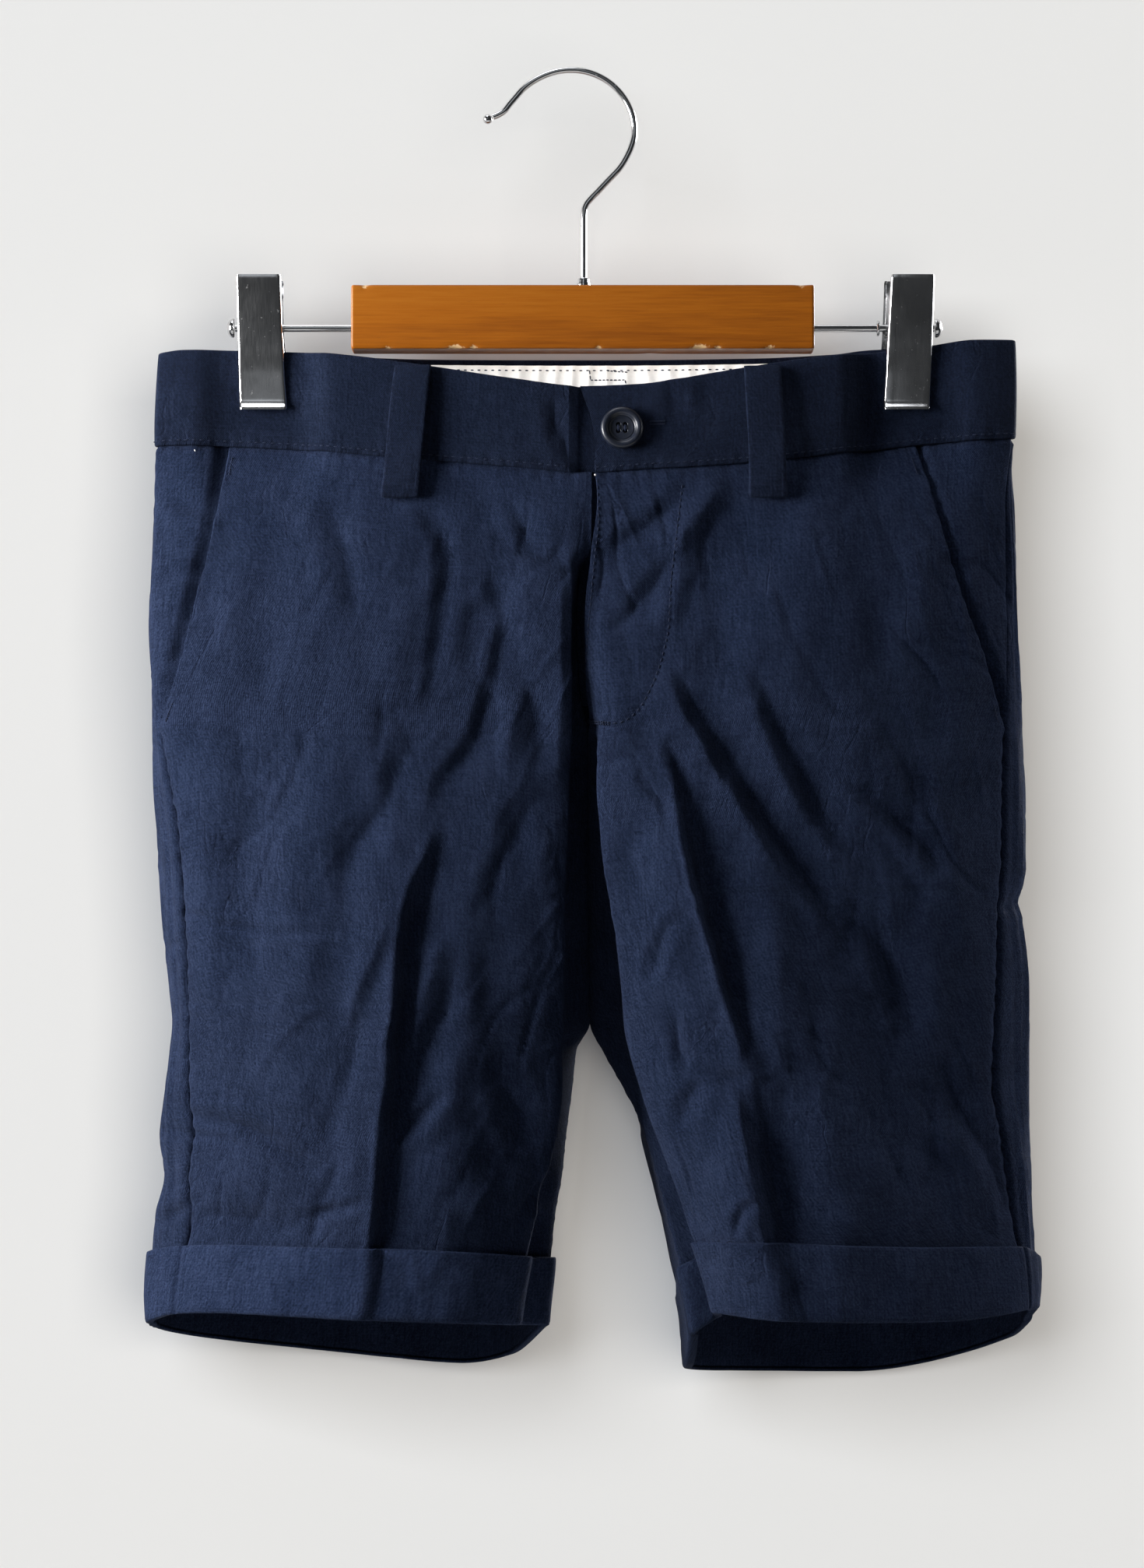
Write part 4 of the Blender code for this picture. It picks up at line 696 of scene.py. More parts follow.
def tube(points, radius, sides=16, ends=True):
    """Points and faces of a round bar along a line: circles square to it, closed with a point at each end.

    Each circle's first axis is the last one's, made square to the line again.
    """
    points = np.asarray(points, float)
    along = unit(np.gradient(points, axis=0))
    side = np.zeros_like(points)
    start = np.cross(along[0], (0.0, 1.0, 0.0))
    side[0] = start if np.linalg.norm(start) > 0.1 else np.cross(along[0], (0.0, 0.0, 1.0))
    for i in range(1, len(points)):
        side[i] = side[i - 1] - along[i] * (side[i - 1] @ along[i])
    side = unit(side)
    up = np.cross(along, side)
    angle = np.arange(sides) * 2 * math.pi / sides
    radius = np.broadcast_to(radius, (len(points),))[:, None, None]
    circles = points[:, None] + radius * (side[:, None] * np.cos(angle)[None, :, None]
                                          + up[:, None] * np.sin(angle)[None, :, None])
    count = len(points) * sides
    faces = [skin_quads(len(points), sides, 0, True)]
    ring = np.arange(sides)
    if ends:
        faces.append(np.stack([ring, np.roll(ring, -1), np.full(sides, count)], -1))
        far = count - sides + ring
        faces.append(np.stack([np.roll(far, -1), far, np.full(sides, count + 1)], -1))
    return np.concatenate([circles.reshape(-1, 3), points[:1], points[-1:]]), faces


def spun(profile, centre, axis, steps=48, closed=False):
    """Points and faces of a turned shape: radius and height pairs carried round an axis.

    An open profile starts and ends on the axis with a radius of 0; a closed one comes back to its start.
    """
    profile = np.asarray(profile, float)
    axis = unit(np.asarray(axis, float))
    side = unit(np.cross(axis, (0.0, 1.0, 0.0) if abs(axis[1]) < 0.8 else (1.0, 0.0, 0.0)))
    up = np.cross(axis, side)
    angle = np.arange(steps) * 2 * math.pi / steps
    circle = side * np.cos(angle)[:, None] + up * np.sin(angle)[:, None]
    body = profile if closed else profile[1:-1]
    points = np.asarray(centre) + body[:, :1, None] * circle[None] + body[:, 1:, None] * axis
    faces = [skin_quads(len(body), steps, 0, True)]
    ring, count = np.arange(steps), len(body) * steps
    if closed:
        faces.append(between(count - steps + ring, ring)[:, ::-1])
        return points.reshape(-1, 3), faces
    poles = np.asarray(centre) + profile[[0, -1], 1][:, None] * axis
    faces.append(np.stack([ring, np.roll(ring, -1), np.full(steps, count)], -1))
    far = count - steps + ring
    faces.append(np.stack([np.roll(far, -1), far, np.full(steps, count + 1)], -1))
    return np.concatenate([points.reshape(-1, 3), poles]), faces


def joined(*shapes):
    """Several shapes' points and faces as one."""
    points, faces, first = [], [], 0
    for some_points, some_faces in shapes:
        points.append(some_points)
        faces += [np.asarray(group) + first for group in some_faces]
        first += len(some_points)
    return np.concatenate(points), faces


def stitches(line, normals, pitch=2.9, gap=0.9, radius=0.2, lift=0.16):
    """Points and faces of a row of stitches along a line on the cloth.

    Each stitch is a thread in five steps whose height is an arch, lift * (1 - (2t - 1)^2 * 1.9), with four
    sides round its three middle steps and a point at either end.
    """
    run = np.concatenate([[0.0], np.linalg.norm(np.diff(line, axis=0), axis=-1).cumsum()])
    count = max(int((run[-1] + gap) / pitch), 1)
    t = np.linspace(0, 1, 5)
    place = ((np.arange(count)[:, None] + 0.0) * (run[-1] + gap) / count
             + t[None] * ((run[-1] + gap) / count - gap))
    centre = np.stack([np.interp(place, run, line[:, k]) for k in range(3)], -1)
    normal = unit(np.stack([np.interp(place, run, normals[:, k]) for k in range(3)], -1))
    along = unit(np.gradient(centre, axis=1))
    across = np.cross(along, normal)
    centre = centre + normal * (lift * (1 - (2 * t - 1) ** 2 * 1.9))[None, :, None]
    sides = np.stack([centre + normal * radius, centre + across * radius * 1.2,
                      centre - normal * radius, centre - across * radius * 1.2], 2)[:, 1:4]
    points = np.concatenate([sides.reshape(count, 12, 3), centre[:, :1], centre[:, 4:]], 1)
    base = np.arange(count)[:, None, None] * 14
    quads = np.concatenate([skin_quads(3, 4, 0, True)])[None] + base
    ring = np.arange(4)
    tips = np.concatenate([np.stack([ring, np.roll(ring, -1), np.full(4, 12)], -1),
                           np.stack([8 + np.roll(ring, -1), 8 + ring, np.full(4, 13)], -1)])[None] + base
    return points.reshape(-1, 3), [quads.reshape(-1, 4), tips.reshape(-1, 3)]


# ---------------------------------------------------------------- the garment's pieces


def levels(top, bottom, upper, lower):
    """Drops down a panel for each column: from its top to the crotch's level, and on to its bottom."""
    above = np.linspace(0, 1, upper + 1)[:, None]
    below = np.linspace(0, 1, lower + 1)[1:, None]
    return np.concatenate([top + (CROTCH - top) * above, CROTCH + (bottom - CROTCH) * below])


def puckers(distance, along, pitch, height):
    """Small waves beside a stitched seam: they die out over 4 mm from it, and their length wanders."""
    wave = np.sin(2 * math.pi * along / pitch + 1.7 * np.sin(along / 11.0) + 0.8 * np.sin(along / 4.3))
    return height * wave * np.exp(-(distance / 4.0) ** 2)


def closer(count):
    """Shares from 0 to 1 that lie half as far apart at both ends as in the middle."""
    even = np.linspace(0, 1, count)
    return 0.62 * even + 0.38 * (1 - np.cos(math.pi * even)) / 2


DIVE, DIVE_REACH = 1.6, 1.2  # how deep a panel's edge turns in to its seam, and over what distance
BEHIND = 1.42  # how far in a panel lies where it runs up behind the waistband


def dive(distance):
    """How deep a panel's edge turns in: DIVE times a bell curve of the distance to its seam."""
    return DIVE * np.exp(-(distance / DIVE_REACH) ** 2)


def behind_band(below):
    """How far a panel stands off its line at this distance below the waistband's seam.

    Negative behind the band: BEHIND millimetres in, easing out over 2 mm below the seam.
    """
    return -BEHIND * (1 - ease(-0.3, 2.0, below))


def front_panel(side, rows=(168, 82), columns=165, over=3.0):
    """From the middle seam, or the fly's edge, to the pocket's opening and below it the side seam."""
    share = closer(columns)
    corner = smooth(WAIST["front"]["x"], WAIST["front"]["seam"], POCKETS[side][:1])
    hem = hem_drop(side, share * SEAM, "bottom") - HEM_TURN
    edge_drop = levels(corner, hem[-1:], *rows)[:, 0]
    opening = smooth(POCKETS["drop"], POCKETS[side], edge_drop)
    edge = np.where(edge_drop < POCKET_END, ring_at(side, opening, edge_drop), SEAM)
    ring = edge[:, None] * share[None, :]
    if side == "left":
        x = plan(side, ring[0], edge_drop[:1])[0]
        over = over * ease(6.0, 10.0, np.abs(x - x[0]))
    drop = levels(waist_drop(side, ring[0], "seam") - over, hem, *rows)
    points = form(side, ring, drop)
    normals = facing(side, points, inseam=0)
    flat = lengths(points, -turn(side))
    to_side = np.abs(flat[:, -1:, 0] - flat[..., 0])
    below = flat[..., 1] - over
    rise = puckers(to_side, below, 8.0, 0.3) + puckers(below, flat[..., 0], 6.2, 0.3) * ease(0, 2, below)
    rise = rise - dive(to_side) * ease(POCKET_END - 4, POCKET_END + 6, drop) + behind_band(below)
    if side == "right":
        row, _ = seen_line("right", J_CURVE, 0.0, 90)
        away = np.hypot(points[..., 0, None] - row[:, 0], points[..., 2, None] - row[:, 2]).min(-1)
        rise = rise - 0.5 * np.exp(-(away / 1.0) ** 2) * (1 + 0.4 * np.sin(2.2 * drop))
    seam_end = FLY_END + 4 if side == "right" else FLY_END - 4
    middle = np.where((drop[:, 0] > seam_end) & (drop[:, 0] < CROTCH), -0.9, 0.42)
    outer = drawn_in(points + normals * rise[..., None], first=middle, last=0.3)
    return shell("panel_front_" + side, outer, outer - normals * CLOTH, TWILL, "twill",
                 ["front_" + side], flat)


def back_panel(side, rows=(122, 70), columns=112, over=1.5):
    """From the side seam round over the back crease to the middle seam."""
    ring = SEAM + (1 - SEAM) * closer(columns)
    hem = hem_drop(side, ring, "bottom") - HEM_TURN
    drop = levels(waist_drop(side, ring, "seam") - over, hem, *rows)
    points = form(side, ring, drop)
    normals = facing(side, points, inseam=-1)
    flat = lengths(points, -turn(side))
    from_side = np.abs(flat[..., 0] - flat[:, :1, 0])
    to_middle = np.abs(flat[:, -1:, 0] - flat[..., 0])
    below = flat[..., 1] - over
    rise = (puckers(from_side, below, 8.0, 0.16) + puckers(below, flat[..., 0], 6.2, 0.2) * ease(0, 2, below)
            + puckers(to_middle, below, 7.0, 0.2) + behind_band(below)
            - dive(from_side) * (0.8 + 0.2 * ease(POCKET_END - 4, POCKET_END + 6, drop)))
    middle = np.where(drop[:, -1] < CROTCH, -0.3, 0.45)
    seam = np.where(drop[:, 0] < POCKET_END, -0.6, 0.3)
    outer = drawn_in(points + normals * rise[..., None], first=seam, last=middle)
    return shell("panel_back_" + side, outer, outer - normals * CLOTH, TWILL, "twill",
                 ["back_" + side], flat)


def pocket_facing(side, rows=90, columns=36, tuck=7.0):
    """The cloth between the opening and the side seam: it rises from under the front to the seam."""
    seam_line = waist_drop(side, np.array([SEAM]), "seam")[0]
    edge_drop = np.linspace(seam_line, POCKET_END + 6.0, rows)
    opening = smooth(POCKETS["drop"], POCKETS[side], edge_drop)
    start = ring_at(side, opening + turn(side) * tuck, edge_drop)
    ring = start[:, None] + (SEAM - start[:, None]) * np.linspace(0, 1, columns)
    lean = waist_drop(side, ring[0], "seam") - seam_line
    tucked = ease(0.8, 4.5, -turn(side) * (plan(side, ring[0], edge_drop[:1])[0] - opening[0]))
    drop = (edge_drop[:, None]
            + (lean - 2.6 * (1 - tucked))[None, :] * (1 - np.linspace(0, 1, rows)[:, None]) ** 2)
    past = -turn(side) * (plan(side, ring, drop)[0] - opening[:, None])
    under = CLOTH + 4 * GAP
    points = form(side, ring, drop)
    normals = facing(side, points)
    down = lengths(points)[..., 1]
    rise = puckers(down, past, 7.0, 0.25) - under * (1 - ease(0.8, 7.0, past)) - 0.85 * dive(down)
    outer = drawn_in(points + normals * rise[..., None], top=-1.2, last=-0.3)
    return shell("facing_" + side, outer, outer - normals, TWILL, "twill", ["pocket_facing_" + side])


def fly_underlap(rows=60, columns=26):
    """The shield behind the fly, which hangs from the band's left end along the left front's edge."""
    down = np.linspace(0, 1, rows)[:, None]
    share = np.linspace(0, 1, columns)[None, :]
    top = smooth(WAIST["front"]["x"], WAIST["front"]["seam"], np.array([5.6]))[0] + 1.8
    drop = top + (FLY_END - 6 - top) * down[:, 0]
    start = form("left", np.zeros(rows), drop)
    x = (start[:, :1] - 2.5 + 3.1 * ease(180, 196, drop)[:, None]) * (1 - share) + UNDERLAP_END * share
    rise = smooth(WAIST["front"]["x"], WAIST["front"]["seam"], x) + 1.8 - top
    drop = drop[:, None] + rise * (1 - down)
    behind = CLOTH + 3.6 * GAP
    over = ring_at("right", np.maximum(x, 10.0), drop)
    slant = np.maximum(np.abs(outward("right", over, drop)[..., 1]), 0.6)
    front = form("right", over, drop)[..., 1] + behind / slant
    settled = ease(0.0, 0.35, share)
    y = (start[:, 1:2] + behind) * (1 - settled) + front * settled
    outer = np.stack([x, y, -drop], -1)
    return shell("underlap", outer, outer + (0.2, 1.1, 0), TWILL, "twill", ["fly_underlap"])


def band_rows(side, ring, rows):
    """Points, normals and share down of a stretch of waistband, slightly crowned and rippled."""
    down = np.linspace(0, 1, rows)[:, None]
    drop = waist_drop(side, ring, "top") * (1 - down) + waist_drop(side, ring, "seam") * down
    points = form(side, np.broadcast_to(ring, drop.shape), drop)
    normals = facing(side, points) * np.sign(ring[-1] - ring[0])
    crown = PROUD + 0.3 * np.sin(math.pi * down) ** 0.6
    wave = puckers((1 - down) * 30, points[..., 0] * turn(side), 6.2, 0.16)
    return points + normals * (crown + wave)[..., None], normals, down


def waistband_right(rows=26, columns=230):
    """Laps over the left end: its free end is the slanting one beside the button."""
    points, normals, _ = band_rows("right", FOLD * np.linspace(0, 1, columns), rows)
    outer = drawn_in(points, bottom=0.55, first=0.7, last=0.75)
    return shell("band_right", outer, outer - normals * BAND, PAINTED_SHADE_TWILL, "twill", ["waistband_right"])


def waistband_left(rows=26, columns=205):
    """Follows its ring to the middle, then runs on behind the right band's end."""
    outer, normals, down = band_rows("left", np.linspace(FOLD, 0.088, columns), rows)
    x = np.concatenate([[2.0, 5.0, 8.0], np.linspace(11, UNDERLAP_END, 20)])
    tail_drop = smooth(WAIST["front"]["x"], WAIST["front"]["top"], x) * (1 - down) + smooth(
        WAIST["front"]["x"], WAIST["front"]["seam"], x) * down
    near = np.maximum(np.broadcast_to(x, tail_drop.shape), 9.0)
    level = form("right", ring_at("right", near, tail_drop), tail_drop)[..., 1]
    tail = np.stack([np.broadcast_to(x, level.shape), level - PROUD + BAND + 1.35, -tail_drop], -1)
    toward = np.broadcast_to(np.array([0.0, -1.0, 0.0]), tail.shape)
    outer = drawn_in(np.concatenate([outer, tail], 1), bottom=0.55, first=0.75)
    normals = np.concatenate([normals, toward], 1)
    return shell("band_left", outer, outer - normals * BAND, PAINTED_SHADE_TWILL, "twill", ["waistband_left"])


def back_band_grid(rows=26, columns=118):
    """Outer points and normals of the back waistband, from one side fold over the middle to the other."""
    share = np.linspace(0, 1, columns)
    left = band_rows("left", FOLD + (1 - FOLD) * share, rows)
    right = band_rows("right", 1 - (1 - FOLD) * share[1:], rows)
    return np.concatenate([left[0], right[0]], 1), np.concatenate([left[1], right[1]], 1)


def waistband_back():
    """The outer cloth of the waistband round the back, from one fold at the side to the other."""
    points, normals = back_band_grid()
    outer = drawn_in(points, bottom=0.55, first=0.75, last=0.75)
    return shell("band_back", outer, outer - normals * BAND, PAINTED_SHADE_TWILL, "twill", ["waistband_back"])


def lining_grid(rows=22, gathers_from=-66.0, gathers_to=80.0, pitch=7.4):
    """Points and normals of the lining: inside the back band, puckered between two places.

    A pucker's depth is a raised cosine across the band, whose phase wanders, sharper towards its valley.
    """
    grid, normal = back_band_grid(26, 170)
    keep = np.linspace(1.3, 23.7, rows)
    low, part = keep.astype(int), (keep % 1)[:, None, None]
    line = grid[low] * (1 - part) + grid[low + 1] * part
    normal = unit(normal[low] * (1 - part) + normal[low + 1] * part)
    line, normal = line[:, 12:-12], normal[:, 12:-12]
    x, down = line[..., 0], np.linspace(0, 1, rows)[:, None]
    across = ease(gathers_from, gathers_from + 12, x) * (1 - ease(gathers_to - 12, gathers_to, x))
    phase = 2 * math.pi * x / pitch + 0.9 * np.sin(x / 9.0) + 0.7 * np.sin(down * 5 + x / 17.0)
    pucker = 1.0 * across * (0.5 + 0.5 * np.cos(phase)) ** 1.7 * (0.55 + 0.45 * np.sin(math.pi * down))
    return line - normal * (BAND + GAP + 0.25 + 1.2 * pucker)[..., None], normal


def waistband_lining():
    """The pale strip inside the back waistband."""
    outer, normal = lining_grid()
    return shell("lining", outer, outer - normal * LINING, LINED, "lining", ["waistband_lining"])


def belt_loop(name, side, x_top, x_bottom, below, behind=False, width=14.0, rows=64, columns=15):
    """A strip from the waistband's top edge to below its seam, standing off the band between them."""
    low, high = (FOLD, 1.0) if behind else (0.0, SEAM)
    edge = WAIST["back" if behind else "front"]
    top = smooth(edge["x"], edge["top"], np.array([x_top]))[0] + 0.8
    bottom = smooth(edge["x"], edge["seam"], np.array([x_bottom]))[0] + below
    along = np.linspace(0, 1, rows)[:, None]
    across = np.linspace(-0.5, 0.5, columns)[None, :]
    drop = np.broadcast_to(top + (bottom - top) * along, (rows, columns))
    x = x_top + (x_bottom - x_top) * along + (width - 0.8) * across
    ring = ring_at(side, x, drop, low, high)
    points = form(side, ring, drop)
    spine = outward(side, ring[:, columns // 2], drop[:, 0])[:, None] + np.zeros(points.shape)
    lift = PROUD + GAP + 0.45 + 2.8 * np.sin(math.pi * np.clip(along * 1.02, 0, 1)) ** 0.7
    thick = LOOP + 0.7 * ease(0.90, 0.94, along)
    bow = 0.25 * np.sin(along * 9 + across * 2) - 0.9 * across ** 2
    inner = points + spine * (lift + 0.25)[..., None]
    outer = inner + spine * (thick + bow)[..., None]
    return shell(name, drawn_in(outer, bottom=0.3), inner, PAINTED_SHADE_TWILL, "twill", ["belt_" + name])


def centre_loop(width=14.0, rows=64, columns=15):
    """The loop over the back's middle seam, level across both rings."""
    along = np.linspace(0, 1, rows)[:, None]
    across = np.linspace(-0.5, 0.5, columns)[None, :]
    drop = 111.6 + (147.2 + 13.0 - 111.6) * along
    spine = form("left", np.full((rows, 1), 0.999), drop)
    lift = PROUD + GAP + 0.55 + 2.9 * np.sin(math.pi * np.clip(along * 1.02, 0, 1)) ** 0.7
    inner = spine + np.stack(
        [(width - 0.8) * across + 0 * lift, lift + 0 * across, 0 * lift + 0 * across], -1)
    bow = 0.2 * np.sin(along * 8) - 0.9 * across ** 2
    outer = inner + np.stack([0 * bow, LOOP + bow, 0 * bow], -1)
    return shell("loop_back_centre", outer, inner, PAINTED_SHADE_TWILL, "twill", ["belt_loop_back_centre"])


def cuff(side, thick=1.5, columns=250):
    """The turn-up: a section that runs down outside the leg, round its raw edge and up inside it.

    The section is a list of distances out of the leg's face, each at a drop; a groove of 0.9 mm, as
    narrow as a seam, follows the side seam down its outer face, and one the inseam.
    """
    seam = SEAM + np.linspace(-0.008, 0.008, 15)
    ring = np.unique(np.round(np.concatenate([np.linspace(0, 1, columns)[:-1], seam]), 5))
    top, bottom = hem_drop(side, ring, "top"), hem_drop(side, ring, "bottom")
    under = bottom - HEM_TURN + 2 * GAP
    clear = GAP + 0.3
    arc = np.radians(np.linspace(0, 90, 4))
    section = [(clear + thick / 2 * (1 - math.cos(a)), top + 0.7 * (1 - math.sin(a))) for a in arc]
    section += [(clear + thick / 2 * (1 + math.cos(a)), top + 0.7 * (1 - math.sin(a))) for a in arc[2::-1]]
    face = len(section)
    for t in np.linspace(0.06, 0.94, 14):
        section.append((clear + thick + 0.35 * math.sin(math.pi * t) ** 0.7, top + (bottom - top) * t))
    section += [(clear + thick - 0.15, bottom - 0.7), (clear + thick - 0.6, bottom - 0.1), (clear, bottom),
                (-0.6, bottom), (-CLOTH - 0.1, bottom - 0.1), (-CLOTH - 0.3, bottom - 0.7),
                (-CLOTH - 0.2, under), (clear, under), (clear, (top + bottom) / 2)]
    away = np.stack([np.broadcast_to(a, ring.shape) for a, _ in section])
    drop = np.stack([np.broadcast_to(d, ring.shape) for _, d in section])
    level = np.minimum(drop, bottom)
    leg = form(side, np.broadcast_to(ring, level.shape), level)
    tangent = np.roll(leg, -1, 1) - np.roll(leg, 1, 1)
    normal = unit(np.stack([tangent[..., 1], -tangent[..., 0], 0 * tangent[..., 0]], -1)) * -turn(side)
    groove = (0.9 * np.exp(-((ring - SEAM) / 0.0026) ** 2)
              + 0.3 * np.exp(-(np.minimum(ring, 1 - ring) / 0.002) ** 2))
    on_face = np.zeros(len(section))
    on_face[3:face + 15] = 1
    away = (away - groove * on_face[:, None]
            + drift(leg[..., 0] * 2.2, level * 2.2, 11) * on_face[:, None] * 0.3)
    points = leg + normal * away[..., None]
    flat = lengths(points)
    faces = skin_quads(len(section), len(ring), 0, True)
    count = len(section) * len(ring)
    index = np.arange(count).reshape(len(section), len(ring))
    closing = between(index[-1], index[0])
    # The left turn-up is the lightened copy of the twill and the right one the plain twill: painted light on the
    # left.
    return piece("turn_up_" + side, points, [faces, closing[:, ::-1]], PAINTED_LIGHT_TWILL if side == "left" else TWILL, "twill",
                 ["cuff_" + side], flat.reshape(-1, 2))


def on_cloth(side, ring, drop, off):
    """Points and normals of a line on the garment's face, at a distance off it."""
    normals = outward(side, ring, drop)
    return form(side, ring, drop) + normals * off, normals


def seen_line(side, places, off, count=120):
    """A line on the front through places given as seen from in front, smooth between them."""
    places = np.array(places, float)
    run = np.concatenate([[0], np.linalg.norm(np.diff(places, axis=0), axis=-1).cumsum()])
    t = np.linspace(0, run[-1], count)
    ring, drop = seen(side, smooth(run, places[:, 0], t), smooth(run, places[:, 1], t))
    return on_cloth(side, ring, drop, off)


J_CURVE = [(42.3, 160.2), (39.3, 184.8), (37.8, 198.3), (36.9, 215.1), (34.8, 225.3), (30.4, 238),
           (23.1, 249.6), (17.1, 252.6), (6.9, 252.4)]  # the fly's stitching as seen from in front


def topstitching():
    """All the rows of stitches on the navy cloth, as one piece."""
    rows = []
    fly_edge = [(9.4, 158.0), (9.9, 174), (8.4, 188), (7.0, 204), (5.6, 221), (4.9, 232)]
    rows.append(stitches(*seen_line("right", fly_edge, 0.02), pitch=2.6))
    rows.append(stitches(*seen_line("right", J_CURVE, -0.15, 200), pitch=2.6))
    for lean in (0.0, 0.9):  # the bar tack at the fly's foot
        tack = [(6.3, 251.6 + lean), (14.4, 252.4 + lean)]
        rows.append(stitches(*seen_line("right", tack, 0.1, 20), pitch=1.0, gap=0.1, radius=0.26))
    for side, ring in (("left", np.linspace(0.094, 0.995, 700)), ("right", np.linspace(0.004, 0.995, 700))):
        for low, high in ((0.0, FOLD - 0.003), (FOLD + 0.003, 1.0)):
            part = ring[(ring > low) & (ring < high)]
            drop = waist_drop(side, part, "seam") - 1.7
            rows.append(stitches(*on_cloth(side, part, drop, PROUD + 0.12), pitch=3.0, radius=0.17))
    for side, _, x_bottom, behind in LOOPS:
        low, high = (FOLD, 1.0) if behind else (0.0, SEAM)
        edge = WAIST["back" if behind else "front"]
        for lift, lean in ((1.5, 0.0), (1.5, 1.0)):  # bar tacks at the loops' feet
            x = x_bottom + np.linspace(-6.2, 6.2, 20)
            drop = smooth(edge["x"], edge["seam"], x) + 11.0 - lean
            ring = ring_at(side, x, drop, low, high)
            rows.append(stitches(*on_cloth(side, ring, drop, LOOP + lift + 0.6), pitch=1.0, gap=0.1,
                                 radius=0.2))
    for side in ("left", "right"):  # bar tacks at the pockets' ends
        for start in (150.5, 246.0):
            drop = np.linspace(start, start + 7, 12)
            x = smooth(POCKETS["drop"], POCKETS[side], drop) + turn(side) * 1.4
            rows.append(stitches(*on_cloth(side, ring_at(side, x, drop), drop, 0.06), pitch=0.9, gap=0.1,
                                 radius=0.2))
    holes = seen_line("right", [(29.6, 136.6), (35.6, 136.4)], PROUD + 0.5, 30)
    for lean in (-0.55, 0.55):  # the buttonhole's worked edges
        line = holes[0] + np.array([0.0, 0.0, lean])
        rows.append(stitches(line, holes[1], pitch=0.55, gap=0.05, radius=0.3, lift=0.05))
    return piece("topstitching", *joined(*rows), NAVY_THREAD, "twill")


def lining_stitches():
    """Dark dots along the lining's top, and the bracket-shaped tacks that hold it at the middle."""
    grid, normal = lining_grid()
    grid, normal = grid[:, 6:-6], normal[:, 6:-6]
    off = LINING + 0.05
    rows = [stitches(grid[1] - normal[1] * off, -normal[1], pitch=2.7, gap=1.3, radius=0.2)]

    def at(places):
        places = np.array(places, float)
        x = np.interp(np.linspace(0, 1, 60), np.linspace(0, 1, len(places)), places[:, 0])
        share = np.interp(np.linspace(0, 1, 60), np.linspace(0, 1, len(places)), places[:, 1])
        column = np.array([np.abs(grid[4, :, 0] - value).argmin() for value in x])
        row = share * (len(grid) - 1)
        low, part = row.astype(int), (row % 1)[:, None]
        line = grid[low, column] * (1 - part) + grid[low + 1, column] * part
        line[:, 0] = x
        return line - normal[low, column] * off, -normal[low, column]

    for path in ([(6.5, 0.04), (6.9, 0.16)], [(6.9, 0.16), (20.3, 0.16)], [(20.3, 0.16), (21.6, 0.31)],
                 [(13.2, 0.05), (21.4, 0.07)]):
        rows.append(stitches(*at(path), pitch=1.5, gap=0.15, radius=0.2))
    return piece("lining_stitches", *joined(*rows), NAVY_THREAD, "lining")


def white_ends():
    """Two short ends of white thread, at the band's seam beside the fly and under the left pocket's top."""
    rows = [stitches(*seen_line("right", [(8.2, 156.2), (9.0, 157.0)], 0.7, 6), pitch=1.0, gap=0.1,
                     radius=0.3),
            stitches(*seen_line("left", [(-146.2, 146.6), (-145.8, 147.6)], 0.2, 6), pitch=1.0, gap=0.1,
                     radius=0.17)]
    return piece("thread_ends", *joined(*rows), WHITE_THREAD, "lining")


# ---------------------------------------------------------------- the button


def button():
    """A dished disc with a raised rim and four sewing holes.

    Its upper side is a height for each radius and angle: a smooth curve through the rim's named heights,
    less four round pits whose walls fall over 0.25 mm. Its lower side is flat with a rounded edge.
    """
    drop = np.array([BUTTON_DROP])
    ring = ring_at("right", np.array([BUTTON_X]), drop)
    normal = outward("right", ring, drop)[0]
    seat = form("right", ring, drop)[0] + normal * (PROUD + GAP + 0.35)
    radius = np.concatenate([np.linspace(0.05, 3.4, 30), np.linspace(3.55, BUTTON_R, 34)])[:, None]
    angle = np.arange(96)[None, :] * 2 * math.pi / 96
    profile = table("radius height", (0, 1.35), (3.6, 1.45), (4.5, 1.6), (4.85, 1.5), (5.2, 1.85), (5.9, 2.6),
                    (6.7, 2.8), (7.5, 2.55), (8.0, 1.95), (BUTTON_R, 1.5))
    height = smooth(profile["radius"], profile["height"], radius) + 0 * angle
    x, y = radius * np.cos(angle), radius * np.sin(angle)
    for k in range(4):
        turned = math.radians(45 + 90 * k)
        away = np.hypot(x - 1.85 * math.cos(turned), y - 1.85 * math.sin(turned))
        height = height - 1.15 * (1 - ease(0.62, 0.9, away))
    edge = [(BUTTON_R, 1.1), (BUTTON_R - 0.15, 0.6), (BUTTON_R - 0.6, 0.2), (BUTTON_R - 1.3, 0.0), (3.0, 0.0),
            (0.05, 0.0)]
    under = [np.stack([r * np.cos(angle[0]), r * np.sin(angle[0]), np.full(96, h)], -1) for r, h in edge]
    flat = np.concatenate([np.stack([x, y, height], -1), np.array(under)])
    poles = np.array([[0, 0, height[0].mean()], [0, 0, 0.0]])
    flat = np.concatenate([flat.reshape(-1, 3), poles])
    side = unit(np.cross((0.0, 0.0, 1.0), normal)) * -1
    axes = np.stack([side, np.cross(normal, side), normal])
    circle, count = np.arange(96), len(flat) - 2
    faces = [skin_quads(len(radius) + len(edge), 96, 0, True),
             np.stack([circle, np.roll(circle, -1), np.full(96, count)], -1),
             np.stack([count - 96 + np.roll(circle, -1), count - 96 + circle, np.full(96, count + 1)], -1)]
    piece("shirt_button", seat + flat @ axes, faces, BUTTON, "button", ["button"])
    threads = []
    for x, lean in ((-1.31, 0.0), (1.31, 0.1)):
        for shift in (-0.2, 0.2):
            line = np.array([(x + shift, -1.25, 0.85), (x + shift, -0.6, 1.55 + lean), (x + shift, 0.6, 1.55 + lean),
                             (x + shift, 1.25, 0.85)])
            threads.append(tube(seat + line @ axes, 0.2, 8))
    piece("button_thread", *joined(*threads), NAVY_THREAD, "twill")


# ---------------------------------------------------------------- the hanger


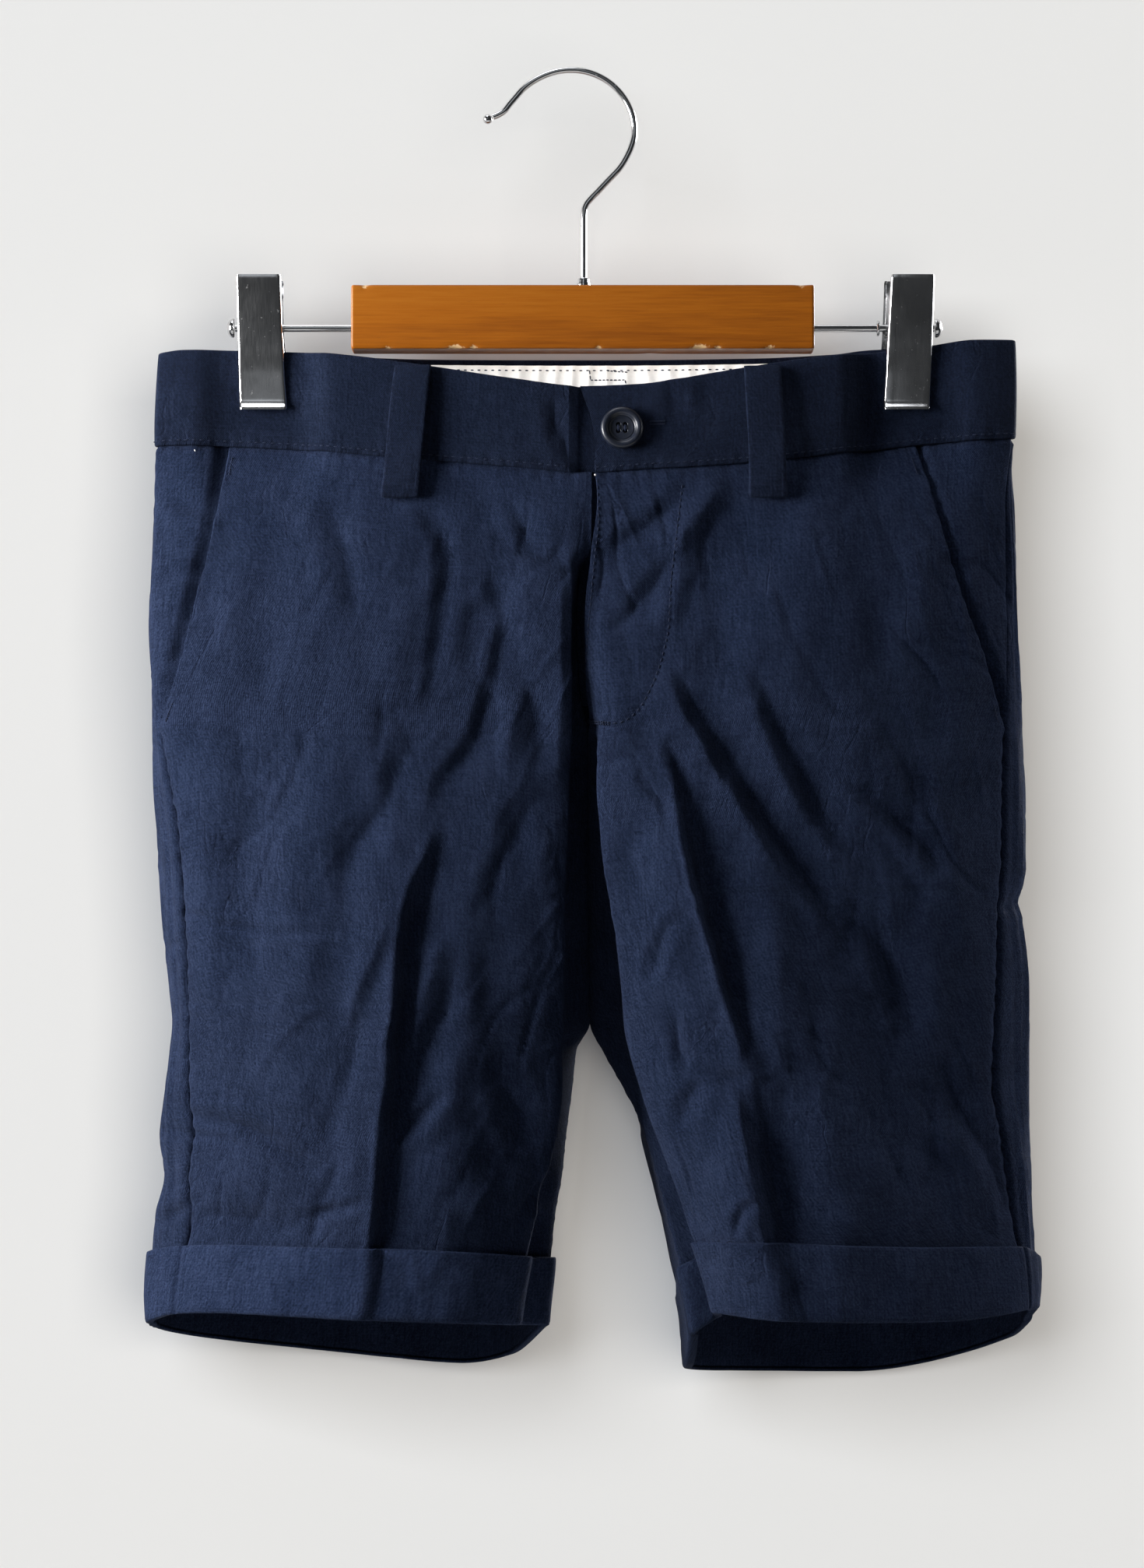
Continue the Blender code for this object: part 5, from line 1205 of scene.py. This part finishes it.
def hook_line():
    """Centre line of the hook: a bowl whose radius eases from end to end, a neck and a straight shank."""
    bowl = table("angle radius", (138, 26.0), (115, 25.4), (90, 25.2), (50, 24.9), (5, 24.3),
                 (-25, 22.9), (-49, 22.5))
    angles = np.linspace(138, -49, 90)
    radius = smooth(-bowl["angle"], bowl["radius"], -angles)
    arc = np.stack([-0.3 + radius * np.cos(np.radians(angles)), 0 * angles,
                    -24.0 + radius * np.sin(np.radians(angles))], -1)
    start = np.array([(-30.9, 0, -17.2), (-28.6, 0, -16.2), (-26.7, 0, -15.0), (-24.4, 0, -12.2),
                      (-22.2, 0, -9.6)])
    neck = np.array([(12.2, 0, -43.6), (9.6, 0, -46.4), (7.0, 0, -49.1), (5.3, 0, -51.3), (4.4, 0, -53.8),
                     (SHANK_X, 0, -57.0), (SHANK_X, 0, -70.0), (SHANK_X, 0, -(BAR["top"] - GAP))])
    line = np.concatenate([start, arc[::3], neck])
    run = np.concatenate([[0], np.linalg.norm(np.diff(line, axis=0), axis=-1).cumsum()])
    t = np.linspace(0, run[-1], 260)
    return np.stack([smooth(run, line[:, k], t) for k in range(3)], -1)


def hook():
    """The wire of the hook, its ball and the ferrule it stands in."""
    line = hook_line()
    piece("hook_wire", *tube(line, WIRE_R, 20), POLISHED, "chrome", ["hook"], sharp=50)
    centre = line[0] + unit(line[0] - line[4]) * (1.9 + GAP)
    around = [(1.9 * math.sin(a), 1.9 * math.cos(a)) for a in np.linspace(0, math.pi, 25)]
    piece("hook_end", *spun(around, centre, (0, 0, 1), 32), POLISHED, "chrome", ["hook_ball"])
    sleeve = [(WIRE_R + GAP, 3.3), (1.9, 3.35), (2.15, 3.15), (2.25, 2.7), (2.28, 1.7), (2.3, 1.55),
              (2.55, 1.45), (2.6, 1.2), (2.6, 0.0), (WIRE_R + GAP, 0.0)]
    piece("hook_ferrule", *spun(sleeve, (SHANK_X, 0, -(BAR["top"] - GAP)), (0, 0, 1), 40, True), POLISHED,
          "chrome", ["ferrule"], sharp=40)


def bar():
    """The wooden bar: a rounded rectangle carried along X, narrowed over its ends, with chipped edges.

    Chips and dents are rounded hollows at named places, pushed into the surface towards the bar's middle
    line. Where one is deep the varnish is off, which the point attribute "bare" holds.
    """
    r, height, depth = 0.9, (BAR["bottom"] - BAR["top"]) / 2, BAR["half_depth"]
    corner = np.radians(np.linspace(0, 90, 6))
    outline = []
    for a, (sx, sz) in enumerate(((1, 1), (-1, 1), (-1, -1), (1, -1))):
        arc = corner + a * math.pi / 2
        outline.append(np.stack([sx * (depth - r) + r * np.cos(arc), sz * (height - r) + r * np.sin(arc)], -1))
        nxt = ((-1, 1), (-1, -1), (1, -1), (1, 1))[a]
        end = np.array([nxt[0] * (depth - r), nxt[1] * (height - r)]) + r * np.array(
            [math.cos(arc[-1]), math.sin(arc[-1])])
        share = np.linspace(0, 1, 9 if a % 2 == 0 else 15)[1:-1, None]
        outline.append(outline[-1][-1] * (1 - share) + end * share)
    outline = np.concatenate(outline)
    ends = r * (1 - np.cos(corner))
    inset = r * (1 - np.sin(corner))
    x = np.concatenate([BAR["left"] + ends, np.linspace(BAR["left"] + 1.5, BAR["right"] - 1.5, 220),
                        BAR["right"] - ends[::-1]])
    narrow = np.concatenate([inset, np.zeros(220), inset[::-1]])[:, None]
    y = outline[:, 0] * (1 - narrow / depth)
    z = outline[:, 1] * (1 - narrow / height)
    z = z - (BAR["top"] + BAR["bottom"]) / 2
    points = np.stack([np.broadcast_to(x[:, None], y.shape), y, z], -1)
    hollow = np.zeros(y.shape)
    for cx, cy, cz, wide, deep in CHIPS:
        hollow += deep * np.exp(-(((points[..., 0] - cx) / wide) ** 2 + ((points[..., 1] - cy) / 1.5) ** 2
                                  + ((points[..., 2] + cz) / 1.3) ** 2))
    inward = unit(np.stack([0 * y, -outline[:, 0] + 0 * y, -outline[:, 1] * 0.6 + 0 * y], -1))
    points = points + inward * hollow[..., None]
    count = points.shape[1]
    middles = points[[0, -1]].mean(1)
    total = points.shape[0] * count
    ring = np.arange(count)
    faces = [skin_quads(points.shape[0], count, 0, True),
             np.stack([ring, np.roll(ring, -1), np.full(count, total)], -1),
             np.stack([total - count + np.roll(ring, -1), total - count + ring, np.full(count, total + 1)], -1)]
    made = piece("wooden_bar", np.concatenate([points.reshape(-1, 3), middles]), faces, WOOD, "wood",
                 ["hanger_bar"], sharp=40)
    bare = made.data.attributes.new("bare", "FLOAT", "POINT")
    bare.data.foreach_set("value", np.concatenate([hollow.ravel(), [0, 0]]).astype(np.float32))


def rods():
    """A rod out of each end of the bar, through its clip, with a cap riveted on, and one washer."""
    ends = {"left": (BAR["left"] - GAP, -130.6), "right": (BAR["right"] + GAP, 139.8)}
    dome = [(3.7 * math.sin(a), 0.5 + 2.4 * math.cos(a)) for a in np.radians(np.linspace(0, 88, 10))]
    cap = [(0, 2.9), *dome[1:], (3.7, 0.2), (3.5, 0.0), (0, 0)]
    for side, (inner, outer) in ends.items():
        line = np.array([(x, 0, -ROD_DROP) for x in np.linspace(inner, outer, 30)])
        piece("rod_" + side + "_steel", *tube(line, ROD_R, 20), POLISHED, "chrome", ["rod_" + side], sharp=50)
        out = -turn(side)
        piece("rivet_" + side, *spun(cap, (outer + out * GAP, 0, -ROD_DROP), (out, 0, 0), 36), POLISHED,
              "chrome", ["rod_cap_" + side], sharp=50)
    ring = [(ROD_R + GAP, 0.9), (2.8, 0.9), (3.0, 0.7), (3.0, 0.2), (2.8, 0), (ROD_R + GAP, 0)]
    piece("washer", *spun(ring, (117.6, 0, -ROD_DROP), (1, 0, 0), 36, True), POLISHED, "chrome",
          ["rod_washer"], sharp=40)


def clip_plate(name, side, facing_way, replaced, shift=0.0):
    """A pressed plate: a channel with rounded corners that leans in to its jaw and curls out at the lip.

    Across, its section runs up one flange, round a quarter circle, over the face and down the other
    flange; down, its width, face and flange follow the clip's named sizes.
    """
    drop = np.concatenate([[80.0, 80.3], np.linspace(80.9, 127, 60), np.linspace(127.6, 131.7, 14), [132.0]])
    low = smooth(CLIPS["drop"], CLIPS[side + "_x0"], drop) + shift
    high = smooth(CLIPS["drop"], CLIPS[side + "_x1"], drop) + shift
    face = smooth(CLIPS["drop"], CLIPS["face"], drop) + 0.9 * ease(129, 132, drop)
    tuck = 0.5 * (1 - ease(80, 81, drop)) + 0.5 * ease(131, 132, drop)
    low, high, face = low + tuck * 0.4, high - tuck * 0.4, face - tuck * 0.3
    flange = 1.3 + 1.9 * ease(80, 88, drop) * (1 - ease(104, 112, drop))
    arc = np.radians(np.linspace(0, 90, 6))

    def section(inset, radius):
        x, y = [], []
        for sign, edge in ((1, low + inset), (-1, high - inset)):
            sx = [edge, edge] + [edge + sign * radius * (1 - math.cos(a)) for a in arc]
            sy = [face - flange, (face - flange + face - inset - radius) / 2]
            sy += [face - inset - radius * (1 - math.sin(a)) for a in arc]
            x.append(sx)
            y.append(sy)
        middle = [(1 - t) * x[0][-1] + t * x[1][-1] for t in np.linspace(0, 1, 9)[1:-1]]
        across = np.stack(x[0] + middle + x[1][::-1], -1)
        crown = 0.12 * np.sin(math.pi * np.linspace(0, 1, 7))
        depth = np.stack(y[0] + [face - inset + c for c in crown] + y[1][::-1], -1)
        return np.stack([across, facing_way * depth, np.broadcast_to(-drop[:, None], across.shape)], -1)

    outer, inner = section(0.0, 1.1), section(0.8, 0.4)
    rows, columns = outer.shape[:2]
    index = np.arange(rows * columns).reshape(rows, columns)
    loop = np.concatenate([index[0, :-1], index[:-1, -1], index[-1, :0:-1], index[:0:-1, 0]])
    faces = [skin_quads(rows, columns), skin_quads(rows, columns, rows * columns)[:, ::-1],
             between(loop, loop + rows * columns)]
    return piece(name, np.concatenate([outer.reshape(-1, 3), inner.reshape(-1, 3)]), faces, PLATE, "chrome",
                 replaced, sharp=32)


def clips():
    """Two plates on each rod, with a coil spring between them round the rod."""
    for side, middle in zip(("left", "right"), CLIP_MIDDLES):
        clip_plate("jaw_front_" + side, side, -1, ["clip_front_" + side])
        clip_plate("jaw_back_" + side, side, 1, ["clip_back_" + side], shift=-1.5 if side == "right" else 0.0)
        turns, wire = 8, 0.62
        t = np.linspace(0, 1, turns * 22)
        angle = 2 * math.pi * turns * t
        line = np.stack([middle - 5.6 + 9.6 * t, 3.5 * np.cos(angle), -ROD_DROP + 3.5 * np.sin(angle)], -1)
        piece("spring_" + side, *tube(line, wire, 8), POLISHED, "chrome", ["clip_spring_" + side])


# ---------------------------------------------------------------- materials


def node(tree, kind, sockets=(), **settings):
    """One shader node with its settings; a socket takes a number, a colour or another node's output."""
    made = tree.nodes.new("ShaderNode" + kind)
    for name, value in settings.items():
        setattr(made, name, value)
    for name, value in dict(sockets).items():
        if isinstance(value, bpy.types.NodeSocket):
            tree.links.new(value, made.inputs[name])
        else:
            made.inputs[name].default_value = value
    return made


def shaded(name, **values):
    """A material and its tree and shader, with the shader's uniform values set on its own sockets."""
    made = bpy.data.materials.new(name)
    made.use_nodes = True
    shader = made.node_tree.nodes["Principled BSDF"]
    for key, value in values.items():
        shader.inputs[key.replace("_", " ")].default_value = value
    return made, made.node_tree, shader


def flat_mm(tree):
    """The cloth's own flat coordinates, in millimetres."""
    flat = node(tree, "UVMap", uv_map="cloth").outputs["UV"]
    return node(tree, "VectorMath", {0: flat, 1: (1000, 1000, 1000)}, operation="MULTIPLY").outputs[0]


def noise(tree, vector, scale, detail=2.0, stretch=(1, 1, 1)):
    """Noise between 0 and 1 in a space stretched along its axes."""
    place = node(tree, "VectorMath", {0: vector, 1: stretch}, operation="MULTIPLY").outputs[0]
    return node(tree, "TexNoise", {"Vector": place, "Scale": scale, "Detail": detail}).outputs["Fac"]


def maths(tree, operation, a, b=0.0, c=0.0):
    """One sum of up to three values."""
    return node(tree, "Math", {0: a, 1: b, 2: c}, operation=operation).outputs[0]


def lines(tree, vector, across, pitch, wander=None, amount=0.0):
    """A sine across parallel lines: of 2 pi times the distance along a direction over the pitch."""
    distance = node(tree, "VectorMath", {0: vector, 1: (*across, 0)},
                    operation="DOT_PRODUCT").outputs["Value"]
    phase = maths(tree, "MULTIPLY", distance, 2 * math.pi / pitch)
    if wander is not None:
        phase = maths(tree, "MULTIPLY_ADD", wander, amount, phase)
    return maths(tree, "SINE", phase)


def summed(tree, base, *terms):
    """base plus each term times its weight."""
    total = base
    for value, weight in terms:
        total = maths(tree, "MULTIPLY_ADD", value, weight, total)
    return total


def between_colours(tree, factor, *stops):
    """A colour ramp through (place, colour) stops."""
    ramp = node(tree, "ValToRGB", {"Fac": factor})
    for i, (place, colour) in enumerate(stops):
        point = ramp.color_ramp.elements[i] if i < 2 else ramp.color_ramp.elements.new(place)
        point.position, point.color = place, (*colour, 1)
    return ramp.outputs["Color"]


def roughened(tree, shader, height, strength, distance):
    """The shader with a bump of this height, strength and distance."""
    bump = node(tree, "Bump", {"Height": height, "Strength": strength, "Distance": distance})
    tree.links.new(bump.outputs["Normal"], shader.inputs["Normal"])


def hairline(tree, vector, scale, stretch):
    """Fine creases: 1 along the lines where a noise is at its middle, falling to 0 beside them."""
    off = maths(tree, "ABSOLUTE", maths(tree, "SUBTRACT", noise(tree, vector, scale, 3.0, stretch), 0.5))
    line = node(tree, "MapRange", {"Value": off, "From Max": 0.022, "To Min": 1.0, "To Max": 0.0},
                interpolation_type="SMOOTHSTEP").outputs["Result"]
    place = node(tree, "MapRange", {"Value": noise(tree, vector, 0.021, 1.0), "From Min": 0.46,
                                    "From Max": 0.62}).outputs["Result"]
    return maths(tree, "MULTIPLY", line, place)


def navy_twill(name="navy twill", light=1.0):
    """Steep diagonal wales 0.42 mm apart, crossed by the weft, with slubs, fuzz and a faded nap. light scales every
    colour: a factor below 1 gives painted shade, one above 1 painted light.
    """
    made, tree, shader = shaded(name, Roughness=0.92, Specular_IOR_Level=0.06, Sheen_Weight=0.02,
                                Sheen_Roughness=0.5, Sheen_Tint=(0.6, 0.7, 1.0, 1))
    mm = flat_mm(tree)
    yarn = noise(tree, mm, 1.3, 3.0)
    wale = lines(tree, mm, (0.866, -0.5), 0.42, yarn, 2.2)
    weft = lines(tree, mm, (0.0, 1.0), 0.34, yarn, 1.5)
    slub = noise(tree, mm, 1.0, 3.0, (1.5, 0.07, 1))
    cross_slub = noise(tree, mm, 1.0, 3.0, (0.09, 1.6, 1))
    slant = noise(tree, node(tree, "VectorRotate", {"Vector": mm, "Angle": 0.52}, rotation_type="Z_AXIS").outputs[0],
                  1.0, 2.0, (1.3, 0.25, 1))
    patch = noise(tree, mm, 0.045, 3.0)
    shade = summed(tree, -0.62, (wale, 0.10), (weft, 0.04), (yarn, 0.9), (slub, 0.55), (cross_slub, 0.35),
                   (slant, 0.6), (patch, 0.4))
    # light scales all the ramp's colours: the copy at 0.62 is painted shade, the one at 1.28 painted light.
    colour = between_colours(tree, shade, *((place, tuple(light * part for part in colour)) for place, colour in (
        (0.42, (0.0034, 0.0064, 0.0175)), (1.0, (0.0205, 0.0310, 0.0680)), (0.72, (0.0090, 0.0150, 0.0365)))))
    tree.links.new(colour, shader.inputs["Base Color"])
    height = summed(tree, 0.0, (wale, 0.25), (weft, 0.1), (yarn, 1.0), (slub, 0.6), (cross_slub, 0.5),
                    (slant, 0.7), (hairline(tree, mm, 0.030, (1.5, 0.6, 1)), -0.9),
                    (hairline(tree, mm, 0.062, (1.0, 1.3, 1)), 0.6))
    roughened(tree, shader, height, 0.8, 0.0004)
    return made


def white_lining():
    """Plain off-white cotton with a fine even weave."""
    made, tree, shader = shaded("lining cotton", Roughness=0.85, Specular_IOR_Level=0.2, Sheen_Weight=0.1)
    mm = flat_mm(tree)
    yarn = noise(tree, mm, 1.2, 2.0)
    warp, weft = lines(tree, mm, (1, 0), 0.36, yarn, 1.5), lines(tree, mm, (0, 1), 0.36, yarn, 1.5)
    shade = summed(tree, 0.0, (warp, 0.08), (weft, 0.08), (yarn, 0.5), (noise(tree, mm, 0.12, 3.0), 0.5))
    colour = between_colours(tree, shade, (0.2, (0.81, 0.79, 0.765)), (0.8, (0.93, 0.92, 0.91)))
    tree.links.new(colour, shader.inputs["Base Color"])
    roughened(tree, shader, summed(tree, 0.0, (warp, 0.5), (weft, 0.5), (yarn, 0.6)), 0.4, 0.0001)
    return made


def thread(name, dark, light):
    """Twisted sewing thread: a fine mottle in two shades."""
    made, tree, shader = shaded(name, Roughness=0.75, Specular_IOR_Level=0.15)
    place = node(tree, "TexCoord").outputs["Object"]
    shade = noise(tree, place, 2600, 2.0)
    tree.links.new(between_colours(tree, shade, (0.3, dark), (0.7, light)), shader.inputs["Base Color"])
    roughened(tree, shader, shade, 0.4, 0.0001)
    return made


def navy_resin():
    """The button's moulded resin: nearly black navy, half gloss, with a faint cloud and fine scuffs."""
    made, tree, shader = shaded("navy resin", Specular_IOR_Level=0.5, Coat_Weight=0.25, Coat_Roughness=0.2)
    place = node(tree, "TexCoord").outputs["Object"]
    cloud = noise(tree, place, 240, 3.0)
    scuff = noise(tree, place, 1900, 3.0)
    tree.links.new(between_colours(tree, cloud, (0.3, (0.003, 0.005, 0.011)), (0.75, (0.009, 0.013, 0.027))),
                   shader.inputs["Base Color"])
    tree.links.new(summed(tree, 0.22, (scuff, 0.3)), shader.inputs["Roughness"])
    roughened(tree, shader, scuff, 0.12, 0.0001)
    return made


def varnished_wood():
    """Light brown wood: grain drawn out along the bar, slow bands, pores, and bare chips."""
    made, tree, shader = shaded("varnished wood", Coat_Weight=0.12, Coat_Roughness=0.25,
                                Specular_IOR_Level=0.2)
    place = node(tree, "TexCoord").outputs["Object"]
    swirl = noise(tree, place, 16, 3.0, (0.35, 1, 1.4))
    bent = node(tree, "VectorMath", {0: place, 1: (0, 0, 1)}, operation="MULTIPLY").outputs[0]
    bent = node(tree, "VectorMath", {0: place, 1: bent}, operation="ADD").outputs[0]
    grain = noise(tree, bent, 1, 4.0, (26, 420, 420))
    fibre = noise(tree, place, 1, 3.0, (90, 1900, 1900))
    band = noise(tree, place, 1, 3.0, (7, 60, 95))
    pore = maths(tree, "GREATER_THAN", noise(tree, place, 1, 2.0, (260, 2600, 2600)), 0.71)
    shade = summed(tree, 0.0, (grain, 0.34), (fibre, 0.2), (band, 0.36), (swirl, 0.3))
    colour = between_colours(tree, shade, (0.36, (0.175, 0.045, 0.003)), (0.86, (0.365, 0.124, 0.010)),
                             (0.60, (0.30, 0.088, 0.0045)))
    colour = node(tree, "Mix", {"Factor": maths(tree, "MULTIPLY", pore, 0.35), "A": colour,
                                "B": (0.17, 0.05, 0.008, 1)}, data_type="RGBA").outputs["Result"]
    return made, tree, shader, colour, place, fibre


def wood_finish():
    """The bar's varnished wood."""
    made, tree, shader, colour, place, fibre = varnished_wood()
    bare = node(tree, "Attribute", attribute_name="bare").outputs["Fac"]
    ragged = summed(tree, 0.0, (bare, 1.0), (noise(tree, place, 900, 3.0), 0.5))
    off = node(tree, "MapRange", {"Value": ragged, "From Min": 0.42, "From Max": 0.55}).outputs["Result"]
    pale = node(tree, "Mix", {"Factor": off, "A": colour, "B": (0.62, 0.40, 0.20, 1)},
                data_type="RGBA").outputs["Result"]
    tree.links.new(pale, shader.inputs["Base Color"])
    tree.links.new(summed(tree, 0.28, (fibre, 0.14), (off, 0.35)), shader.inputs["Roughness"])
    roughened(tree, shader, summed(tree, 0.0, (fibre, 1.0), (off, -0.6)), 0.12, 0.0003)
    return made


def plated(name, colour, rough, scratch):
    """Bright nickel plate: an uneven polish, fine scratches and a few dull specks."""
    made, tree, shader = shaded(name, Metallic=1.0)
    place = node(tree, "TexCoord").outputs["Object"]
    cloud = noise(tree, place, 90, 3.0)
    hair = noise(tree, place, 1, 2.0, (3200, 900, 160))
    speck = noise(tree, place, 700, 2.0)
    tree.links.new(between_colours(tree, cloud, (0.3, tuple(c * 0.8 for c in colour)), (0.7, colour)),
                   shader.inputs["Base Color"])
    tree.links.new(summed(tree, rough, (cloud, 0.08), (hair, scratch), (maths(tree, "GREATER_THAN", speck, 0.72),
                                                                          0.15)), shader.inputs["Roughness"])
    roughened(tree, shader, summed(tree, 0.0, (hair, 1.0), (cloud, 2.0)), 0.04, 0.0002)
    return made


def painted_wall():
    """Matt white paint on the side that faces the room; the back of the sheet is left open."""
    made, tree, shader = shaded("painted wall", Roughness=1.0, Specular_IOR_Level=0.0)
    open_side = node(tree, "MixShader", {0: node(tree, "NewGeometry").outputs["Backfacing"],
                                         1: shader.outputs["BSDF"],
                                         2: node(tree, "BsdfTransparent").outputs["BSDF"]})
    tree.links.new(open_side.outputs["Shader"], tree.nodes["Material Output"].inputs["Surface"])
    place = node(tree, "TexCoord").outputs["Object"]
    tree.links.new(between_colours(tree, noise(tree, place, 2.0, 3.0), (0.3, (0.80, 0.805, 0.81)),
                                   (0.7, (0.83, 0.83, 0.83))), shader.inputs["Base Color"])
    roughened(tree, shader, noise(tree, place, 260, 3.0), 0.05, 0.0005)
    return made


TWILL, LINED = navy_twill(), white_lining()
# The left turn-up takes a copy of the twill with every colour at 1.28: painted light, for the more light that falls
# on it than on the right one.
# The waistbands and belt loops take a copy of the twill with every colour at 0.62: painted shade, for the less light
# that falls on them than on the legs.
PAINTED_SHADE_TWILL, PAINTED_LIGHT_TWILL = navy_twill("twill darkened for painted shade", 0.62), navy_twill("twill lightened for painted light", 1.28)
NAVY_THREAD = thread("navy thread", (0.008, 0.012, 0.028), (0.020, 0.028, 0.058))
WHITE_THREAD = thread("white thread", (0.6, 0.6, 0.6), (0.85, 0.85, 0.85))
BUTTON, WOOD = navy_resin(), wood_finish()
POLISHED = plated("polished plate", (0.72, 0.72, 0.73), 0.06, 0.06)
PLATE = plated("clip plate", (0.74, 0.74, 0.75), 0.10, 0.14)
LOOPS = (("left", -61.2, -65.6, False), ("right", 72.4, 74.4, False),
         ("left", -90.0, -91.0, True), ("right", 98.0, 99.0, True))
CHIPS = (  # X, Y and drop of each dent in the bar, its half width and depth
    (-45, -7, 108.5, 3.6, 0.45), (-38, -7, 108.6, 1.4, 0.4), (49, -7, 108.5, 3.4, 0.5),
    (56, -7, 108.6, 1.4, 0.4), (10, -7, 108.6, 1.2, 0.4), (-80, -7, 84.0, 1.6, 0.35), (88, -7, 83.9, 2.0, 0.3),
    (-71, -7, 108.6, 2.0, 0.3), (76, -7, 108.6, 2.4, 0.35), (30, 7, 108.5, 3.0, 0.4), (-60, 7, 84.0, 2.0, 0.3))


# ---------------------------------------------------------------- the whole


def main():
    made = {}
    for side in ("left", "right"):
        made["front_" + side] = front_panel(side)
        made["back_" + side] = back_panel(side)
        made["facing_" + side] = pocket_facing(side)
        made["cuff_" + side] = cuff(side)
    made["underlap"] = fly_underlap()
    made["band_left"], made["band_right"] = waistband_left(), waistband_right()
    made["band_back"], made["lining"] = waistband_back(), waistband_lining()
    for (side, x_top, x_bottom, behind), below in zip(LOOPS, (16.0, 14.4, 13.0, 13.0)):
        name = "loop_%s_%s" % ("back" if behind else "front", side)
        made[name] = belt_loop(name, side, x_top, x_bottom, below, behind)
    made["loop_back_centre"] = centre_loop()
    topstitching()
    lining_stitches()
    white_ends()
    button()
    hook()
    bar()
    rods()
    clips()
    return made


def stage():
    """Wall and floor in one sheet: a section of wall, quarter circle and floor, carried along X."""
    arc = np.radians(np.linspace(0, 90, 16))
    radius = 400
    section = [(52, 1400), (52, -1400)]
    section += [(52 - radius * (1 - math.cos(a)), -1400 - radius * math.sin(a)) for a in arc]
    section += [(-2200, -1800)]
    section = np.array(section)
    x = np.linspace(-2600, 2600, 3)
    points = np.stack([np.broadcast_to(x[None], (len(section), 3)),
                       np.broadcast_to(section[:, :1], (len(section), 3)),
                       np.broadcast_to(section[:, 1:], (len(section), 3))], -1).reshape(-1, 3)
    mesh = bpy.data.meshes.new("studio")
    mesh.from_pydata((points * MM).tolist(), [], skin_quads(len(section), 3).tolist())
    mesh.shade_smooth()
    mesh.materials.append(painted_wall())
    studio = bpy.data.objects.new("studio", mesh)
    bpy.context.scene.collection.objects.link(studio)


def light(name, place, aim, size, power, colour, lit, goods):
    """A square lamp at a place, turned towards another, that lights one collection.

    Only the goods cast shadows.
    """
    data = bpy.data.lights.new(name, "AREA")
    data.shape, data.size, data.energy, data.color = "SQUARE", size, power, colour
    lamp = bpy.data.objects.new(name, data)
    lamp.location = place
    lamp.rotation_euler = (Vector(aim) - Vector(place)).to_track_quat("-Z", "Y").to_euler()
    bpy.context.scene.collection.objects.link(lamp)
    lamp.light_linking.receiver_collection = lit
    lamp.light_linking.blocker_collection = goods


def view():
    """Camera, lights and the dim room. The wall has soft lamps of its own, so that it stays even."""
    data = bpy.data.cameras.new("camera")
    data.sensor_fit, data.sensor_height = "VERTICAL", 24
    data.lens = 24 * 1.504 / 0.6042
    data.shift_y = 0.0155
    data.shift_x = -0.0003 / 0.6042
    camera = bpy.data.objects.new("camera", data)
    camera.location = (0, -EYE * MM, -LEVEL * MM)
    camera.rotation_euler = (math.pi / 2 + math.atan((LEVEL - 275.1 - 10.3) / EYE), 0, 0)
    bpy.context.scene.collection.objects.link(camera)
    bpy.context.scene.camera = camera
    goods, walls = bpy.data.collections.new("goods"), bpy.data.collections.new("walls")
    for thing in bpy.context.scene.objects:
        if thing.type == "MESH":
            (walls if thing.name == "studio" else goods).objects.link(thing)
            if thing.name.startswith("lining"):
                walls.objects.link(thing)
    for name, place, size, power, colour, lit in (
            ("window", (-0.80, -0.31, -0.08), 0.38, 20.5, (1.0, 0.99, 0.98), goods),
            ("fill", (-0.6, -4.6, 1.4), 1.4, 4, (0.90, 0.95, 1.0), goods),
            ("ceiling", (-0.5, -0.6, 2.2), 1.4, 18, (0.95, 0.97, 1.0), goods),
            ("side", (2.6, 0.5, 0.5), 1.2, 45, (0.95, 0.97, 1.0), goods),
            ("rear", (1.7, 2.1, 0.6), 0.9, 75, (1.0, 0.99, 0.98), goods),
            ("wall_wash", (-1.7, -3.8, 0.9), 2.6, 108, (0.96, 1.0, 1.05), walls),
            ("wall_fill", (0.9, -3.9, -0.6), 2.8, 110, (1.0, 0.945, 0.86), walls)):
        light(name, place, (0, 0, -0.28), size, power, colour, lit, goods)
    world = bpy.data.worlds.new("room")
    world.use_nodes = True
    tree = world.node_tree
    dim, pale = tree.nodes["Background"], tree.nodes.new("ShaderNodeBackground")
    dim.inputs["Color"].default_value, dim.inputs["Strength"].default_value = (0.9, 0.95, 1.0, 1), 0.035
    pale.inputs["Color"].default_value, pale.inputs["Strength"].default_value = (0.80, 0.805, 0.81, 1), 1.0
    mix, path = tree.nodes.new("ShaderNodeMixShader"), tree.nodes.new("ShaderNodeLightPath")
    tree.links.new(path.outputs["Is Camera Ray"], mix.inputs[0])
    tree.links.new(dim.outputs[0], mix.inputs[1])
    tree.links.new(pale.outputs[0], mix.inputs[2])
    tree.links.new(mix.outputs[0], tree.nodes["World Output"].inputs["Surface"])
    bpy.context.scene.world = world
    bpy.context.scene.view_settings.view_transform = "Standard"
    bpy.context.scene.view_settings.look = "None"


cloths = main()
stage()
view()
